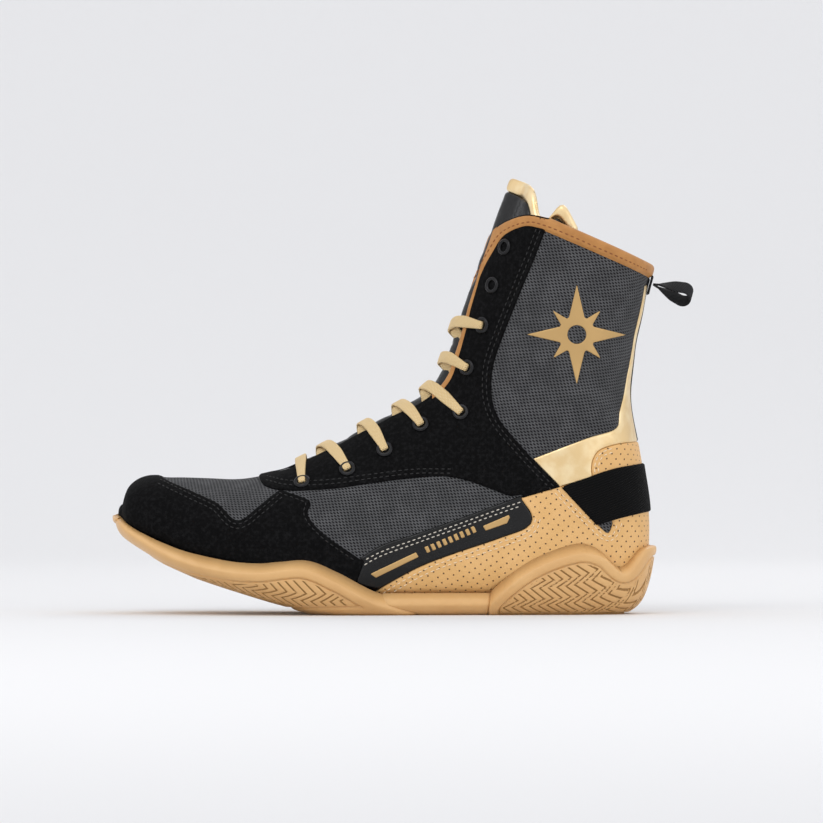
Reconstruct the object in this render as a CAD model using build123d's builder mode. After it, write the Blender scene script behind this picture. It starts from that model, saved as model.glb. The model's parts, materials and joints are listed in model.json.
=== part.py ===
"""A left boxing boot, EU 42: a tall lace-up boot on a thin gum-rubber sole, built from the layers and pieces that a
cobbler would find in it.

Millimetres. +Z is up, the toe points along -X and the outer (lateral) side faces -Y. The origin is on the ground,
under the middle of the sole.
"""

from build123d import *
import os
from math import copysign, cos, hypot, pi, radians, sin, tan

os.makedirs("parts", exist_ok=True)

# ---------------------------------------------------------------- the form of the boot
# The boot's outer surface is a row of slanting slices, fanned from the toe tip round the ankle to above the collar.
# Each slice runs from a sole (or heel, or back) point to a ridge (or instep, or shin) point:
# sole x, z, ridge x, z, half width, centre y, level of the widest place, fullness below it, fullness above it
STATIONS = [
    (-143.6, 51.0, -143.4, 58.5, 15.0, 9.0, 0.45, 2.2, 2.2),
    (-140.5, 45.0, -140.0, 68.5, 27.0, 8.5, 0.42, 2.6, 2.3),
    (-132.0, 40.5, -130.5, 74.0, 35.0, 8.0, 0.40, 3.2, 2.4),
    (-118.0, 35.0, -116.0, 74.0, 41.5, 7.0, 0.38, 3.6, 2.4),
    (-100.0, 28.5, -98.0, 73.0, 46.0, 5.5, 0.36, 4.0, 2.3),
    (-80.0, 22.0, -77.0, 73.5, 48.5, 3.5, 0.34, 4.0, 2.2),
    (-58.0, 15.5, -57.0, 78.0, 48.0, 1.0, 0.32, 4.0, 2.1),
    (-36.0, 10.5, -38.0, 87.0, 45.0, -1.0, 0.30, 4.0, 2.0),
    (-12.0, 8.5, -18.0, 98.0, 41.0, -2.5, 0.28, 4.0, 2.0),
    (15.0, 8.5, 0.0, 108.0, 38.5, -3.0, 0.27, 4.0, 2.0),
    (45.0, 8.5, 14.0, 116.0, 37.5, -2.5, 0.27, 3.8, 2.0),
    (80.0, 8.5, 24.0, 124.0, 37.0, -1.5, 0.30, 3.5, 2.05),
    (112.0, 8.5, 30.0, 134.0, 36.5, -0.5, 0.36, 3.0, 2.1),
    (134.0, 15.0, 34.0, 146.0, 36.0, 0.0, 0.42, 2.5, 2.2),
    (141.0, 43.0, 38.0, 158.0, 36.5, 0.0, 0.46, 2.3, 2.25),
    (137.0, 80.0, 42.5, 171.0, 37.5, 0.0, 0.48, 2.25, 2.3),
    (131.5, 112.0, 47.5, 185.0, 38.5, 0.0, 0.50, 2.2, 2.3),
    (133.0, 142.0, 53.0, 200.0, 40.5, 0.0, 0.50, 2.25, 2.3),
    (139.0, 172.0, 59.0, 216.0, 42.5, 0.0, 0.50, 2.3, 2.3),
    (146.0, 202.0, 65.0, 232.0, 43.5, 0.0, 0.50, 2.3, 2.3),
    (153.0, 232.0, 71.0, 248.0, 44.0, 0.0, 0.50, 2.3, 2.3),
]
LAST = len(STATIONS) - 1
SLICE_POINTS = 24
CRUMB = 0.5  # cubic millimetres: anything smaller that a cut leaves is dropped
SOLE_SHARE = [0.3, 0.45, 0.6, 0.88]  # the sole under the toe thins out: its share of full thickness, station by station

# ---------------------------------------------------------------- layers, as distances out from that surface
LINING = (-3.2, -2.2)
STIFFENER = (-2.1, -1.0)
MESH = (-0.9, -0.1)
OVERLAY = (0.0, 0.9)
STRAP = (1.0, 2.1)
FILM = (0.0, 0.35)
BAR_FILM = (0.95, 1.2)
TONGUE_FACE = (-7.9, -7.0)
TONGUE_PAD = (-10.6, -8.0)
TONGUE_CROWN = 7.2  # how far the middle of the tongue bulges out between the eyestays
TONGUE_CROWN_HALF = 11.0
TONGUE_START = 4  # the station where the tongue's own form begins

# ---------------------------------------------------------------- the sole
WALL = 4.4  # outside of the rubber wall
WAIST_WALL = 2.8
WALL_INSIDE = 1.0
RUBBER_DROP = 10.8  # the rubber's underside below the upper, before it is cut flat on the ground
MIDSOLE_DROP = 4.3
BOARD = 3.2  # thickness of the sewn-in board
INSOLE = 4.0
SHANK = (92.0, 24.0, 1.4)
SHANK_MIDDLE = 32.0

# ---------------------------------------------------------------- lacing
EYELETS = [(63.5, 198.0), (57.0, 177.5), (51.5, 156.0), (43.5, 133.0), (39.5, 109.0), (18.0, 102.0),
           (-1.5, 88.5), (-21.5, 78.0), (-46.0, 71.0)]
SPARE_EYELETS = 2  # the top pairs, with no lace in them
EYELET_HOLE = 2.3
EYELET_BARREL = 2.85
EYELET_FLANGE = 4.7
WASHER = 4.3
LACE = 1.0  # half the thickness of the bunched lace
LACE_OVER = 3.4  # out from the surface where the lace crosses an eyelet
LACE_UNDER = -5.7
LACE_HOLE = -1.0
LACE_CROSSING = [(12.0, -5.1), (7.5, -2.7), (3.8, 0.5), (0.0, 2.1)]  # from under one eyestay up over the tongue
LACE_LANDING = [(-11.0, 2.5)]  # and onto the other eyestay
LACE_BEND = 1.4
CROSSING_LIFT = 2.4  # one strand of each cross passes over the other
TAIL = [(56.5, 146.0), (56.0, 130.0), (52.5, 116.0), (47.5, 103.0)]  # the tucked end, down inside the shaft
TAIL_OUT = -5.1
AGLET = (1.15, 14.0)
THROAT_TOE = (-52.0, 11.0)  # x and half width of the lace opening at its toe end
THROAT_TOP = (75.0, 14.0)
THROAT_Y = -1.5

# ---------------------------------------------------------------- film and print
EMBLEM_MIDDLE = (101.5, 151.0)
EMBLEM_POINTS = [(27.0, 6.5), (18.5, 5.0)]  # length and half width of the long and the short points
EMBLEM_HUB = 10.0
EMBLEM_HOLE = 5.0
BARS = [[(-9.5, 22.5), (15.0, 34.0), (16.5, 31.5), (-6.5, 20.5)],
        [(51.0, 48.0), (65.0, 54.0), (65.5, 52.5), (64.0, 49.5), (52.5, 45.5)]]
TICKS = 9
TICK_START = (21.0, 33.5)
TICK_STEP = (3.1, 1.32)

# ---------------------------------------------------------------- the pull loop at the back of the collar
LOOP_ROOT = (144.0, 178.5)
LOOP_END = (160.2, 173.2)
LOOP_ROOT_RADIUS = 0.9
LOOP_RADIUS = 5.0
LOOP_WEBBING = (1.2, 10.0)  # thickness and width
LOOP_TAB = (1.0, 2.2)

REACH = 70.0
SIDES = {"lateral": -1, "medial": 1}


def station(v):
    """The slice at place v along the fan, by a smooth curve through the stations."""
    i = min(max(int(v), 0), LAST - 1)
    t = v - i
    b, c = STATIONS[i], STATIONS[i + 1]
    a = STATIONS[i - 1] if i else [2 * q - r for q, r in zip(b, c)]
    d = STATIONS[i + 2] if i + 2 <= LAST else [2 * r - q for q, r in zip(b, c)]
    return [q + t / 2 * (r - p + t * (2 * p - 5 * q + 4 * r - s + t * (3 * (q - r) + s - p)))
            for p, q, r, s in zip(a, b, c, d)]


def outward(v, first, turn):
    """Unit normal, in the XZ plane, of the sole line (first 0, turn 1) or the ridge line (first 2, turn -1)."""
    low, high = station(max(v - 0.05, 0)), station(min(v + 0.05, LAST))
    dx, dz = high[first] - low[first], high[first + 1] - low[first + 1]
    return turn * dz / hypot(dx, dz), -turn * dx / hypot(dx, dz)


def slice_ends(v, side, bottom, top):
    """Sole and ridge points of a slice, moved out by side at the heel, bottom under the sole and top at the ridge."""
    bx, bz, tx, tz = station(v)[:4]
    nx, nz = outward(v, 0, 1)
    share = SOLE_SHARE[round(v)] if round(v) < len(SOLE_SHARE) else 1.0
    drop = side * nx**2 + bottom * (1 - nx**2) * (share if bottom > side else 1.0)
    mx, mz = outward(v, 2, -1)
    return (bx + nx * drop, bz + nz * drop), (tx + mx * top, tz + mz * top)


def slice_points(v, side, bottom, top, crown, count):
    """Points round one slice; crown pushes its middle out at the ridge, which shapes the tongue."""
    (bx, bz), (tx, tz) = slice_ends(v, side, bottom, top)
    half, centre, widest, low, high = station(v)[4:]
    mx, mz = outward(v, 2, -1)
    length = hypot(tx - bx, tz - bz)
    ux, uz = (tx - bx) / length, (tz - bz) / length
    crown = crown / (ux * mx + uz * mz)
    points = []
    for k in range(count):
        angle = -pi / 2 + k * 2 * pi / count
        power = 2 / (low if sin(angle) < 0 else high)
        y = (half + side) * copysign(abs(cos(angle)) ** power, cos(angle))
        up = abs(sin(angle)) ** power
        h = widest + (1 - widest) * up if sin(angle) > 0 else widest - widest * up
        bulge = 0.0
        if sin(angle) > 0 and abs(y) < TONGUE_CROWN_HALF:
            bulge = crown * cos(pi * y / 2 / TONGUE_CROWN_HALF) ** 2
        points.append((bx + (tx - bx) * h + ux * bulge, centre + y, bz + (tz - bz) * h + uz * bulge))
    return points


def form(side, bottom=None, crown=0.0):
    """The whole boot as one solid, grown out by the given distances; with a crown, only from the instep up."""
    bottom = side if bottom is None else bottom
    count = 2 * SLICE_POINTS if crown else SLICE_POINTS
    rings = []
    for v in range(TONGUE_START if crown else 0, LAST + 1):
        ring = [Vector(*p) for p in slice_points(v, side, bottom, side, crown, count)]
        rings.append(ring + ring[:1])
    # Every ring's spline takes the same parameters, the mean share of the way round, so that the loft stays light.
    parameters = [0.0] * (count + 1)
    for ring in rings:
        steps = [(q - p).length for p, q in zip(ring, ring[1:])]
        for k in range(count + 1):
            parameters[k] += sum(steps[:k]) / sum(steps) / len(rings)
    with BuildPart() as body:
        for ring in rings:
            chord = ring[count // 2] - ring[0]
            slanting = Plane(ring[0], x_dir=(0, 1, 0), z_dir=chord.cross(Vector(0, 1, 0)))
            with BuildSketch(slanting):
                with BuildLine():
                    flat_ring = [slanting.to_local_coords(p) for p in ring[:-1]]
                    add(Edge.make_spline(flat_ring, periodic=True, parameters=parameters))
                make_face()
        loft()
    return body.part


def place_along(x, z, out):
    """The place v along the fan whose slice, moved out by out, passes through (x, z)."""
    low, high = 0.0, float(LAST)
    for _ in range(40):
        v = (low + high) / 2
        (bx, bz), (tx, tz) = slice_ends(v, out, out, out)
        if (tx - bx) * (z - bz) < (tz - bz) * (x - bx):
            low = v
        else:
            high = v
    return v


def on_surface(x, z, hand, out):
    """The point beside (x, z) on the boot's side, at a distance out from the surface, and the normal there."""
    def side_point(x, z):
        v = place_along(x, z, out)
        (bx, bz), (tx, tz) = slice_ends(v, out, out, out)
        half, centre, widest, below, above = station(v)[4:]
        h = ((x - bx) * (tx - bx) + (z - bz) * (tz - bz)) / ((tx - bx) ** 2 + (tz - bz) ** 2)
        level = (h - widest) / (1 - widest) if h > widest else (widest - h) / widest
        power = above if h > widest else below
        return Vector(x, centre + hand * (half + out) * max(1 - level ** power, 0) ** (1 / power), z)

    here = side_point(x, z)
    along, up = side_point(x + 0.5, z) - here, side_point(x, z + 0.5) - here
    normal = up.cross(along).normalized()
    return here, normal if normal.Y * hand > 0 else -normal


def near_ridge(v, y, out):
    """The point above the widest level at place v along the fan, y from the slice's middle, out from the surface."""
    def base(v, y):
        bx, bz, tx, tz, half, centre, widest, _, above = station(v)
        h = widest + (1 - widest) * (1 - abs(y / half) ** above) ** (1 / above)
        return Vector(bx + (tx - bx) * h, centre + y, bz + (tz - bz) * h)

    here = base(v, y)
    normal = (base(v + 0.05, y) - here).cross(base(v, y + 0.2) - here).normalized()
    mx, mz = outward(v, 2, -1)
    return here + normal * (out if normal.X * mx + normal.Z * mz > 0 else -out)


# ---------------------------------------------------------------- outlines in side view, as runs of (x, z) points
# A run of two points is a straight line, and a longer run is a smooth curve through its points.
def outline(*runs):
    """Draws the runs one after another and closes them."""
    for run in runs:
        if len(run) > 2:
            Spline(*run)
        else:
            Line(*run)
    if runs[-1][-1] != runs[0][0]:
        Line(runs[-1][-1], runs[0][0])


def block(*runs):
    """A side-view outline carried out to both sides, past the boot's width."""
    with BuildPart() as solid:
        with BuildSketch(Plane.XZ):
            with BuildLine():
                outline(*runs)
            make_face()
        extrude(amount=REACH, both=True)
    return solid.part


def sole_line(rise, start=0, end=12):
    """The sole line of the upper, raised by rise."""
    return [(station(v)[0], station(v)[1] + rise) for v in range(start, end + 1)]


COLLAR_FRONT = [(44.0, 183.0), (50.5, 196.0), (59.0, 209.0), (73.5, 215.5), (87.0, 213.5)]
VAMP_EDGE = [(-140.0, 90.0), (-122.5, 74.0), (-104.5, 66.0), (-91.5, 60.0), (-81.0, 51.0), (-70.0, 58.0),
             (-58.0, 67.5)]
EYESTAY_LOW = [(-72.0, 80.0), (-66.5, 69.5), (-52.0, 67.0), (-26.0, 68.5), (11.0, 73.5), (36.0, 74.0), (66.0, 64.0)]
EYESTAY_REAR = [(90.0, 221.0), (78.5, 191.0), (64.5, 156.5), (56.5, 132.0), (58.0, 109.5), (73.5, 89.0),
                (92.5, 69.0)]
QUARTER_FRONT = [(-58.0, 67.5), (-42.0, 61.5), (-43.0, 54.0), (-34.0, 43.5), (-13.0, 29.0)]
TAN_TOP = [(-18.0, 6.0), (17.0, 26.0), (59.0, 41.0), (74.5, 47.0), (77.5, 53.5), (71.5, 63.0)]
STRIPE_TOP = [(-31.0, 18.0), (-7.0, 36.0), (17.0, 44.5), (41.0, 53.0), (73.5, 65.0)]
STRAP_FRONT = [(92.5, 69.0), (103.0, 58.0), (112.0, 49.5)]
NOTCH = [(112.0, 49.5), (118.5, 44.0), (121.5, 51.0)]
BAND_TOP = [(75.0, 83.0), (106.5, 95.0), (122.5, 100.5), (125.0, 110.0), (129.0, 126.0), (133.0, 150.0),
            (139.0, 178.0)]
FORE_RAND = [(-150.0, 55.0), (-139.0, 44.5), (-115.5, 31.5), (-90.0, 25.0), (-70.0, 23.5), (-46.0, 25.5),
             (-28.0, 18.5), (-7.0, 7.0), (16.0, 0.0)]
HEEL_RAND = [(54.0, 0.0), (57.0, 8.5), (77.0, 24.5), (101.0, 33.5), (115.5, 31.5), (128.0, 22.5), (140.0, 35.5),
             (152.0, 37.0)]
WAIST_TOP = 6.0
TONGUE_TOP = [(58.0, 236.0), (68.5, 236.5), (77.5, 230.0), (81.0, 216.0), (85.5, 213.5), (94.0, 221.0),
              (102.5, 208.0)]
TONGUE_REAR = [(102.5, 208.0), (82.0, 180.0), (68.0, 146.0), (58.0, 118.0), (30.0, 92.0), (-15.0, 74.0),
               (-50.0, 64.0)]
TONGUE_PIVOT = (43.0, 168.0)
TONGUE_TILT = 20.0  # degrees left open behind the pivot


def above_collar(lower):
    """Everything above the collar's edge, which is lowered by the given distance."""
    front = [(x + 0.6 * lower, z - 0.8 * lower) for x, z in COLLAR_FRONT[:-1]] + [(87.0, 213.5 - lower)]
    return block(front, [front[-1], (160.0, 182.0 - lower)], [(160.0, 182.0 - lower), (170.0, 260.0)],
                 [(170.0, 260.0), (20.0, 260.0)])


collar_edge = above_collar(0.0)
collar_cut = above_collar(1.4)
binding_top = above_collar(1.3)
binding_band = above_collar(7.5)

# The lace opening: a tapering slot down through the instep, and on up the front of the shaft
with BuildPart() as throat:
    with BuildSketch(Plane.XY.offset(60)):
        with Locations((THROAT_TOE[0], THROAT_Y)):
            Circle(THROAT_TOE[1])
        with Locations((40, THROAT_Y)):
            Circle(12)
        make_hull()
    extrude(amount=90)
    with BuildSketch(Plane.YZ.offset(-10)):
        with BuildLine():
            Polyline((THROAT_Y - 12, 112), (THROAT_Y + 12, 112), (THROAT_TOP[1], 250), (-THROAT_TOP[1], 250),
                     close=True)
        make_face()
    extrude(amount=10 + THROAT_TOP[0])
with BuildPart() as throat_edge:
    add(throat.part)
    offset(amount=2.4, kind=Kind.INTERSECTION)

# ---------------------------------------------------------------- eyelet places and holes
eyelet_planes = {}
for name, hand in SIDES.items():
    eyelet_planes[name] = []
    for x, z in EYELETS:
        spot, normal = on_surface(x, z, hand, 0.0)
        eyelet_planes[name].append(Plane(spot, x_dir=(0, 1, 0) if abs(normal.Y) < 0.9 else (1, 0, 0), z_dir=normal))

with BuildPart() as eyelet_holes:
    for planes in eyelet_planes.values():
        for plane in planes:
            with BuildSketch(plane.offset(-6)):
                Circle(EYELET_BARREL + 0.1)
            extrude(amount=9)


# ---------------------------------------------------------------- layers, each open at the collar, throat and sole
def layer(distances, open_below):
    """The boot's skin between two distances out, with its openings and eyelet holes cut; open_below is a solid."""
    with BuildPart() as skin:
        add(form(distances[1]))
        add(form(distances[0]), mode=Mode.SUBTRACT)
        add(open_below, mode=Mode.SUBTRACT)
        add(collar_cut, mode=Mode.SUBTRACT)
        add(throat.part, mode=Mode.SUBTRACT)
        add(eyelet_holes.part, mode=Mode.SUBTRACT)
    return skin.part


def below(rise):
    """Everything below the sole line raised by rise, round to the back of the heel."""
    line = [(-150.0, 51.0 + rise)] + sole_line(rise, 1) + [(134.0, 17.0 + rise)]
    return block(line, [line[-1], (150.0, 30.0)], [(150.0, 30.0), (150.0, -20.0)], [(150.0, -20.0), (-150.0, -20.0)])


under_board = below(BOARD + 0.1)
under_overlay = below(0.5)


def take(label, source, cutter, spare=None):
    """Cuts the named piece out of a layer and returns the piece and what is left of the layer."""
    with BuildPart() as piece:
        add(source)
        add(cutter, mode=Mode.INTERSECT)
        if spare is not None:
            add(spare, mode=Mode.SUBTRACT)
    with BuildPart() as rest:
        add(source)
        add(cutter, mode=Mode.SUBTRACT)
    export(label, piece.part)
    return rest.part


def export(label, part):
    """Writes one named piece, without the crumbs that a cut may leave at its edges."""
    with BuildPart() as piece:
        add([solid for solid in part.solids() if solid.volume > CRUMB])
    piece.part.label = label
    export_step(piece.part, f"parts/{label}.step")
    print(label, [round(solid.volume, 1) for solid in piece.part.solids()])


def half_space(hand):
    """One side of the boot, a hair off the middle."""
    with BuildPart() as side:
        with BuildSketch(Plane.XZ.offset(-hand * 0.1)):
            Rectangle(400, 600)
        extrude(amount=-hand * REACH)
    return side.part


halves = {name: half_space(hand) for name, hand in SIDES.items()}
vamp_zone = block([(-48.0, 110.0), (-66.0, 60.0)], [(-66.0, 60.0), (-30.0, 0.0)], [(-30.0, 0.0), (-160.0, 0.0)],
                  [(-160.0, 0.0), (-160.0, 110.0)])
shaft_zone = block([(0.0, 150.0), (45.0, 100.0)], [(45.0, 100.0), (98.0, 70.0)], [(98.0, 70.0), (160.0, 85.0)],
                   [(160.0, 85.0), (160.0, 260.0)], [(160.0, 260.0), (0.0, 260.0)])

# Inner lining: a vamp piece and two quarters
lining = layer(LINING, under_board)
lining = take("vamp_lining", lining, vamp_zone)
for name in SIDES:
    take(f"quarter_lining_{name}", lining, halves[name])

# Stiffeners between lining and mesh: toe puff, heel counter, eyelet backing and ankle foam
stiffener = layer(STIFFENER, under_board)
toe_zone = block([(-150.0, 90.0), (-112.0, 90.0)], [(-112.0, 90.0), (-108.0, 55.0), (-118.0, 20.0)],
                 [(-118.0, 20.0), (-150.0, 20.0)])
counter_zone = block([(62.0, 0.0), (74.0, 34.0), (110.0, 52.0), (126.0, 78.0), (150.0, 84.0)],
                     [(150.0, 84.0), (160.0, 0.0)])
backing_zone = block([(-52.0, 100.0), (-58.0, 72.0)], [(-58.0, 72.0), (-30.0, 70.5), (8.0, 76.0), (30.0, 92.0)],
                     [(30.0, 92.0), (52.0, 112.0), (62.0, 152.0), (76.0, 195.0), (82.0, 222.0)],
                     [(82.0, 222.0), (0.0, 240.0)])
foam_zone = block([(64.0, 120.0), (72.0, 96.0), (98.0, 84.0), (150.0, 92.0)], [(150.0, 92.0), (170.0, 240.0)],
                  [(170.0, 240.0), (90.0, 240.0)], [(90.0, 240.0), (64.0, 120.0)])
stiffener = take("toe_puff", stiffener, toe_zone)
stiffener = take("heel_counter", stiffener, counter_zone)
for name in SIDES:
    take(f"eyelet_backing_{name}", stiffener, backing_zone & halves[name])
    take(f"ankle_foam_{name}", stiffener, (foam_zone - backing_zone) & halves[name])

# Mesh layer: vamp, quarters and shaft, sewn edge to edge
mesh = layer(MESH, under_board)
mesh = take("vamp_mesh", mesh, vamp_zone)
for name in SIDES:
    take(f"shaft_mesh_{name}", mesh, shaft_zone & halves[name])
    take(f"quarter_mesh_{name}", mesh, halves[name] - shaft_zone)

# Overlays, each one taking its place from what the earlier ones have left: binding, edging, eyestays, toe, heel
overlay = layer(OVERLAY, under_overlay)
with BuildPart() as binding:
    add(form(1.2))
    add(form(LINING[0]), mode=Mode.SUBTRACT)
    add(throat.part, mode=Mode.SUBTRACT)
    add(binding_top, mode=Mode.INTERSECT)
    add(collar_edge, mode=Mode.SUBTRACT)
    with BuildPart(mode=Mode.PRIVATE) as band:
        add(overlay)
        add(binding_band, mode=Mode.INTERSECT)
    add(band.part)
export("collar_binding", binding.part)
overlay = overlay - binding_band

edging_zone = throat_edge.part - block([(-100.0, 0.0), (24.0, 0.0)], [(24.0, 0.0), (24.0, 300.0)],
                                       [(24.0, 300.0), (-100.0, 300.0)])
for name in SIDES:
    take(f"throat_edging_{name}", overlay, edging_zone & halves[name])
overlay = overlay - edging_zone

eyestay_zone = block(EYESTAY_LOW, [EYESTAY_LOW[-1], (77.0, 84.0)], [(77.0, 84.0), EYESTAY_REAR[-3]],
                     EYESTAY_REAR[-3::-1], [EYESTAY_REAR[0], (-20.0, 240.0)], [(-20.0, 240.0), (-100.0, 110.0)])
for name in SIDES:
    take(f"eyestay_{name}", overlay, eyestay_zone & halves[name])
overlay = overlay - eyestay_zone

toe_cap_zone = block(VAMP_EDGE, QUARTER_FRONT, [QUARTER_FRONT[-1], (-24.0, 0.0)], [(-24.0, 0.0), (-170.0, 0.0)],
                     [(-170.0, 0.0), (-170.0, 90.0)])
stripe_zone = block(STRIPE_TOP, [STRIPE_TOP[-1], TAN_TOP[-1]], TAN_TOP[::-1], [TAN_TOP[0], (-31.0, 0.0)])
overlay = take("toe_cap", overlay, toe_cap_zone)
for name in SIDES:
    take(f"side_stripe_{name}", overlay, stripe_zone & halves[name])
overlay = overlay - stripe_zone

heel_zone = block(TAN_TOP, [TAN_TOP[-1], STRAP_FRONT[0]], [STRAP_FRONT[0], (150.0, 84.0)],
                  [(150.0, 84.0), (160.0, -10.0)], [(160.0, -10.0), (-18.0, -10.0)])
heel_zone = heel_zone - block(NOTCH, [NOTCH[-1], (112.0, 56.0)])
overlay = take("heel_wrap", overlay, heel_zone)

patch_zone = block([(111.0, 70.0), (109.5, 80.0), (113.0, 88.0), (121.5, 91.5), (150.0, 94.5)],
                   [(150.0, 94.5), (150.0, 70.0)])
overlay = take("achilles_patch", overlay, patch_zone)

spine_zone = block([(123.0, 84.0), (123.0, 120.0), (131.0, 160.0), (136.5, 200.0)], [(136.5, 200.0), (170.0, 200.0)],
                   [(170.0, 200.0), (170.0, 84.0)])
with BuildPart() as spine_strip:
    Box(400, 13, 600)
overlay = take("back_strip", overlay, spine_zone & spine_strip.part)

band_zone = block(BAND_TOP, [BAND_TOP[-1], (150.0, 178.0)], [(150.0, 178.0), (150.0, 60.0)],
                  [(150.0, 60.0), EYESTAY_REAR[-1]])
for name in SIDES:
    take(f"ankle_band_{name}", overlay, band_zone & halves[name])

# What lies on the overlays: the strap round the heel, the emblems and the bars of the side stripe
with BuildPart() as strap:
    add(form(STRAP[1]))
    add(form(STRAP[0]), mode=Mode.SUBTRACT)
    add(block([(93.0, 69.0), (103.0, 72.5), (124.5, 79.5), (160.0, 84.0)], [(160.0, 84.0), (160.0, 59.0)],
              [(160.0, 59.0), (132.5, 54.0), (112.0, 48.5)], [(112.0, 48.5), (93.0, 69.0)]), mode=Mode.INTERSECT)
export("heel_strap", strap.part)


def film(distances, hand, draw):
    """A thin film on one side of the boot, cut to the flat side-view sketch that draw makes."""
    with BuildPart() as skin:
        add(form(distances[1]))
        add(form(distances[0]), mode=Mode.SUBTRACT)
        with BuildPart(mode=Mode.INTERSECT):
            with BuildSketch(Plane.XZ):
                draw()
            extrude(amount=-hand * REACH)
    return skin.part


def compass_rose():
    """A generic eight-pointed rose with a hollow hub."""
    with Locations(EMBLEM_MIDDLE):
        for turn in range(8):
            length, half = EMBLEM_POINTS[turn % 2]
            Polygon((0, -half), (length, 0), (0, half), rotation=45 * turn, align=None)
        Circle(EMBLEM_HUB)
        Circle(EMBLEM_HOLE, mode=Mode.SUBTRACT)


def slanted_bars():
    """A long bar at each end of the stripe and short slanted ticks between them."""
    for corners in BARS:
        Polygon(*corners, align=None)
    for k in range(TICKS):
        x, z = TICK_START[0] + k * TICK_STEP[0], TICK_START[1] + k * TICK_STEP[1]
        Polygon((x, z), (x + 1.9, z + 0.8), (x + 0.4, z + 4.0), (x - 1.5, z + 3.2), align=None)


for name, hand in SIDES.items():
    export(f"emblem_{name}", film(FILM, hand, compass_rose))
    export(f"stripe_bars_{name}", film(BAR_FILM, hand, slanted_bars))

# ---------------------------------------------------------------- the sole
with BuildPart() as ground_cut:
    with Locations((0, 0, -50)):
        Box(600, 300, 100)


def rubber(wall):
    """The rubber shell round the foot of the upper, flat on the ground."""
    with BuildPart() as shell:
        add(form(wall, RUBBER_DROP))
        add(form(WALL_INSIDE, MIDSOLE_DROP + 0.5), mode=Mode.SUBTRACT)
        add(ground_cut.part, mode=Mode.SUBTRACT)
    return shell.part


fore_zone = block(FORE_RAND, [FORE_RAND[-1], (-170.0, -5.0)], [(-170.0, -5.0), (-170.0, 55.0)])
heel_rand_zone = block(HEEL_RAND, [HEEL_RAND[-1], (170.0, -5.0)], [(170.0, -5.0), (54.0, -5.0)])
waist_zone = block([(-24.0, -5.0), (-24.0, WAIST_TOP + 1)], [(-24.0, WAIST_TOP + 1), (60.0, WAIST_TOP + 1)],
                   [(60.0, WAIST_TOP + 1), (60.0, -5.0)])
thick_rubber = rubber(WALL)
export("outsole_forefoot", thick_rubber & fore_zone)
export("outsole_heel", thick_rubber & heel_rand_zone)
export("outsole_waist", (rubber(WAIST_WALL) & waist_zone) - fore_zone - heel_rand_zone)

with BuildPart() as sole_pack:
    add(form(WALL_INSIDE - 0.1, MIDSOLE_DROP))
    add(form(0.0), mode=Mode.SUBTRACT)
    add(below(0.4), mode=Mode.INTERSECT)
with BuildPart() as shank_pocket:
    with Locations((SHANK_MIDDLE, -2, 8.5 - 1.0)):
        Box(SHANK[0] + 0.4, SHANK[1] + 0.4, SHANK[2] + 0.3)
export("midsole", sole_pack.part - shank_pocket.part)
with BuildPart() as shank:
    with Locations((SHANK_MIDDLE, -2, 8.5 - 1.0)):
        Box(*SHANK)
    fillet(shank.edges().filter_by(Axis.Z), 10)
export("shank", shank.part)

with BuildPart() as board:
    add(form(-0.1))
    add(below(BOARD), mode=Mode.INTERSECT)
export("strobel_board", board.part)
with BuildPart() as insole:
    add(form(LINING[0] - 0.4))
    add(below(BOARD + 0.15 + INSOLE), mode=Mode.INTERSECT)
    add(below(BOARD + 0.15), mode=Mode.SUBTRACT)
export("insole", insole.part)

# ---------------------------------------------------------------- the tongue
tongue_zone = block(TONGUE_TOP, TONGUE_REAR, [TONGUE_REAR[-1], (-60.0, 95.0)], [(-60.0, 95.0), (20.0, 240.0)])
px, pz = TONGUE_PIVOT
drop = 120 * tan(radians(TONGUE_TILT + 2))
above_pivot = block([(px - 60.0, pz), (px + 120.0, pz)], [(px + 120.0, pz), (px + 120.0, 260.0)],
                    [(px + 120.0, 260.0), (px - 60.0, 260.0)])
below_pivot = block([(px - 60.0, pz - 0.2), (px, pz - 0.2)], [(px, pz - 0.2), (px + 120.0, pz - 0.2 - drop)],
                    [(px + 120.0, pz - 0.2 - drop), (px + 120.0, -20.0)], [(px + 120.0, -20.0), (-100.0, -20.0)],
                    [(-100.0, -20.0), (-100.0, pz)])


def tongue_layer(distances):
    """One layer of the tongue, bulging out between the eyestays."""
    with BuildPart() as skin:
        add(form(distances[1], crown=TONGUE_CROWN))
        add(form(distances[0], crown=TONGUE_CROWN), mode=Mode.SUBTRACT)
        add(tongue_zone, mode=Mode.INTERSECT)
    return skin.part


face = tongue_layer(TONGUE_FACE)
pad = tongue_layer(TONGUE_PAD)
trim_zone = tongue_zone - block([(x - 3.0, z - 7.0) for x, z in TONGUE_TOP], [(99.5, 201.0), (130.0, 0.0)],
                                [(130.0, 0.0), (-100.0, 0.0)], [(-100.0, 0.0), (-100.0, 150.0)])
export("tongue_trim", face & trim_zone)
export("tongue_upper", (face - trim_zone) & above_pivot)
export("tongue_lower", face & below_pivot)
export("tongue_pad_upper", pad & above_pivot)
export("tongue_pad_lower", pad & below_pivot)

# ---------------------------------------------------------------- eyelets
for name, planes in eyelet_planes.items():
    with BuildPart() as eyelets:
        for plane in planes:
            with BuildSketch(plane.offset(-3.4)):
                Circle(EYELET_BARREL)
                Circle(EYELET_HOLE, mode=Mode.SUBTRACT)
            extrude(amount=5.5)
            with BuildSketch(plane.offset(1.3)):
                Circle(EYELET_FLANGE)
                Circle(EYELET_HOLE, mode=Mode.SUBTRACT)
            extrude(amount=0.8)
    export(f"eyelets_{name}", eyelets.part)
    with BuildPart() as washers:
        for plane in planes:
            with BuildSketch(plane.offset(-4.4)):
                Circle(WASHER)
                Circle(EYELET_HOLE, mode=Mode.SUBTRACT)
            extrude(amount=0.7)
    export(f"eyelet_washers_{name}", washers.part)

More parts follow.
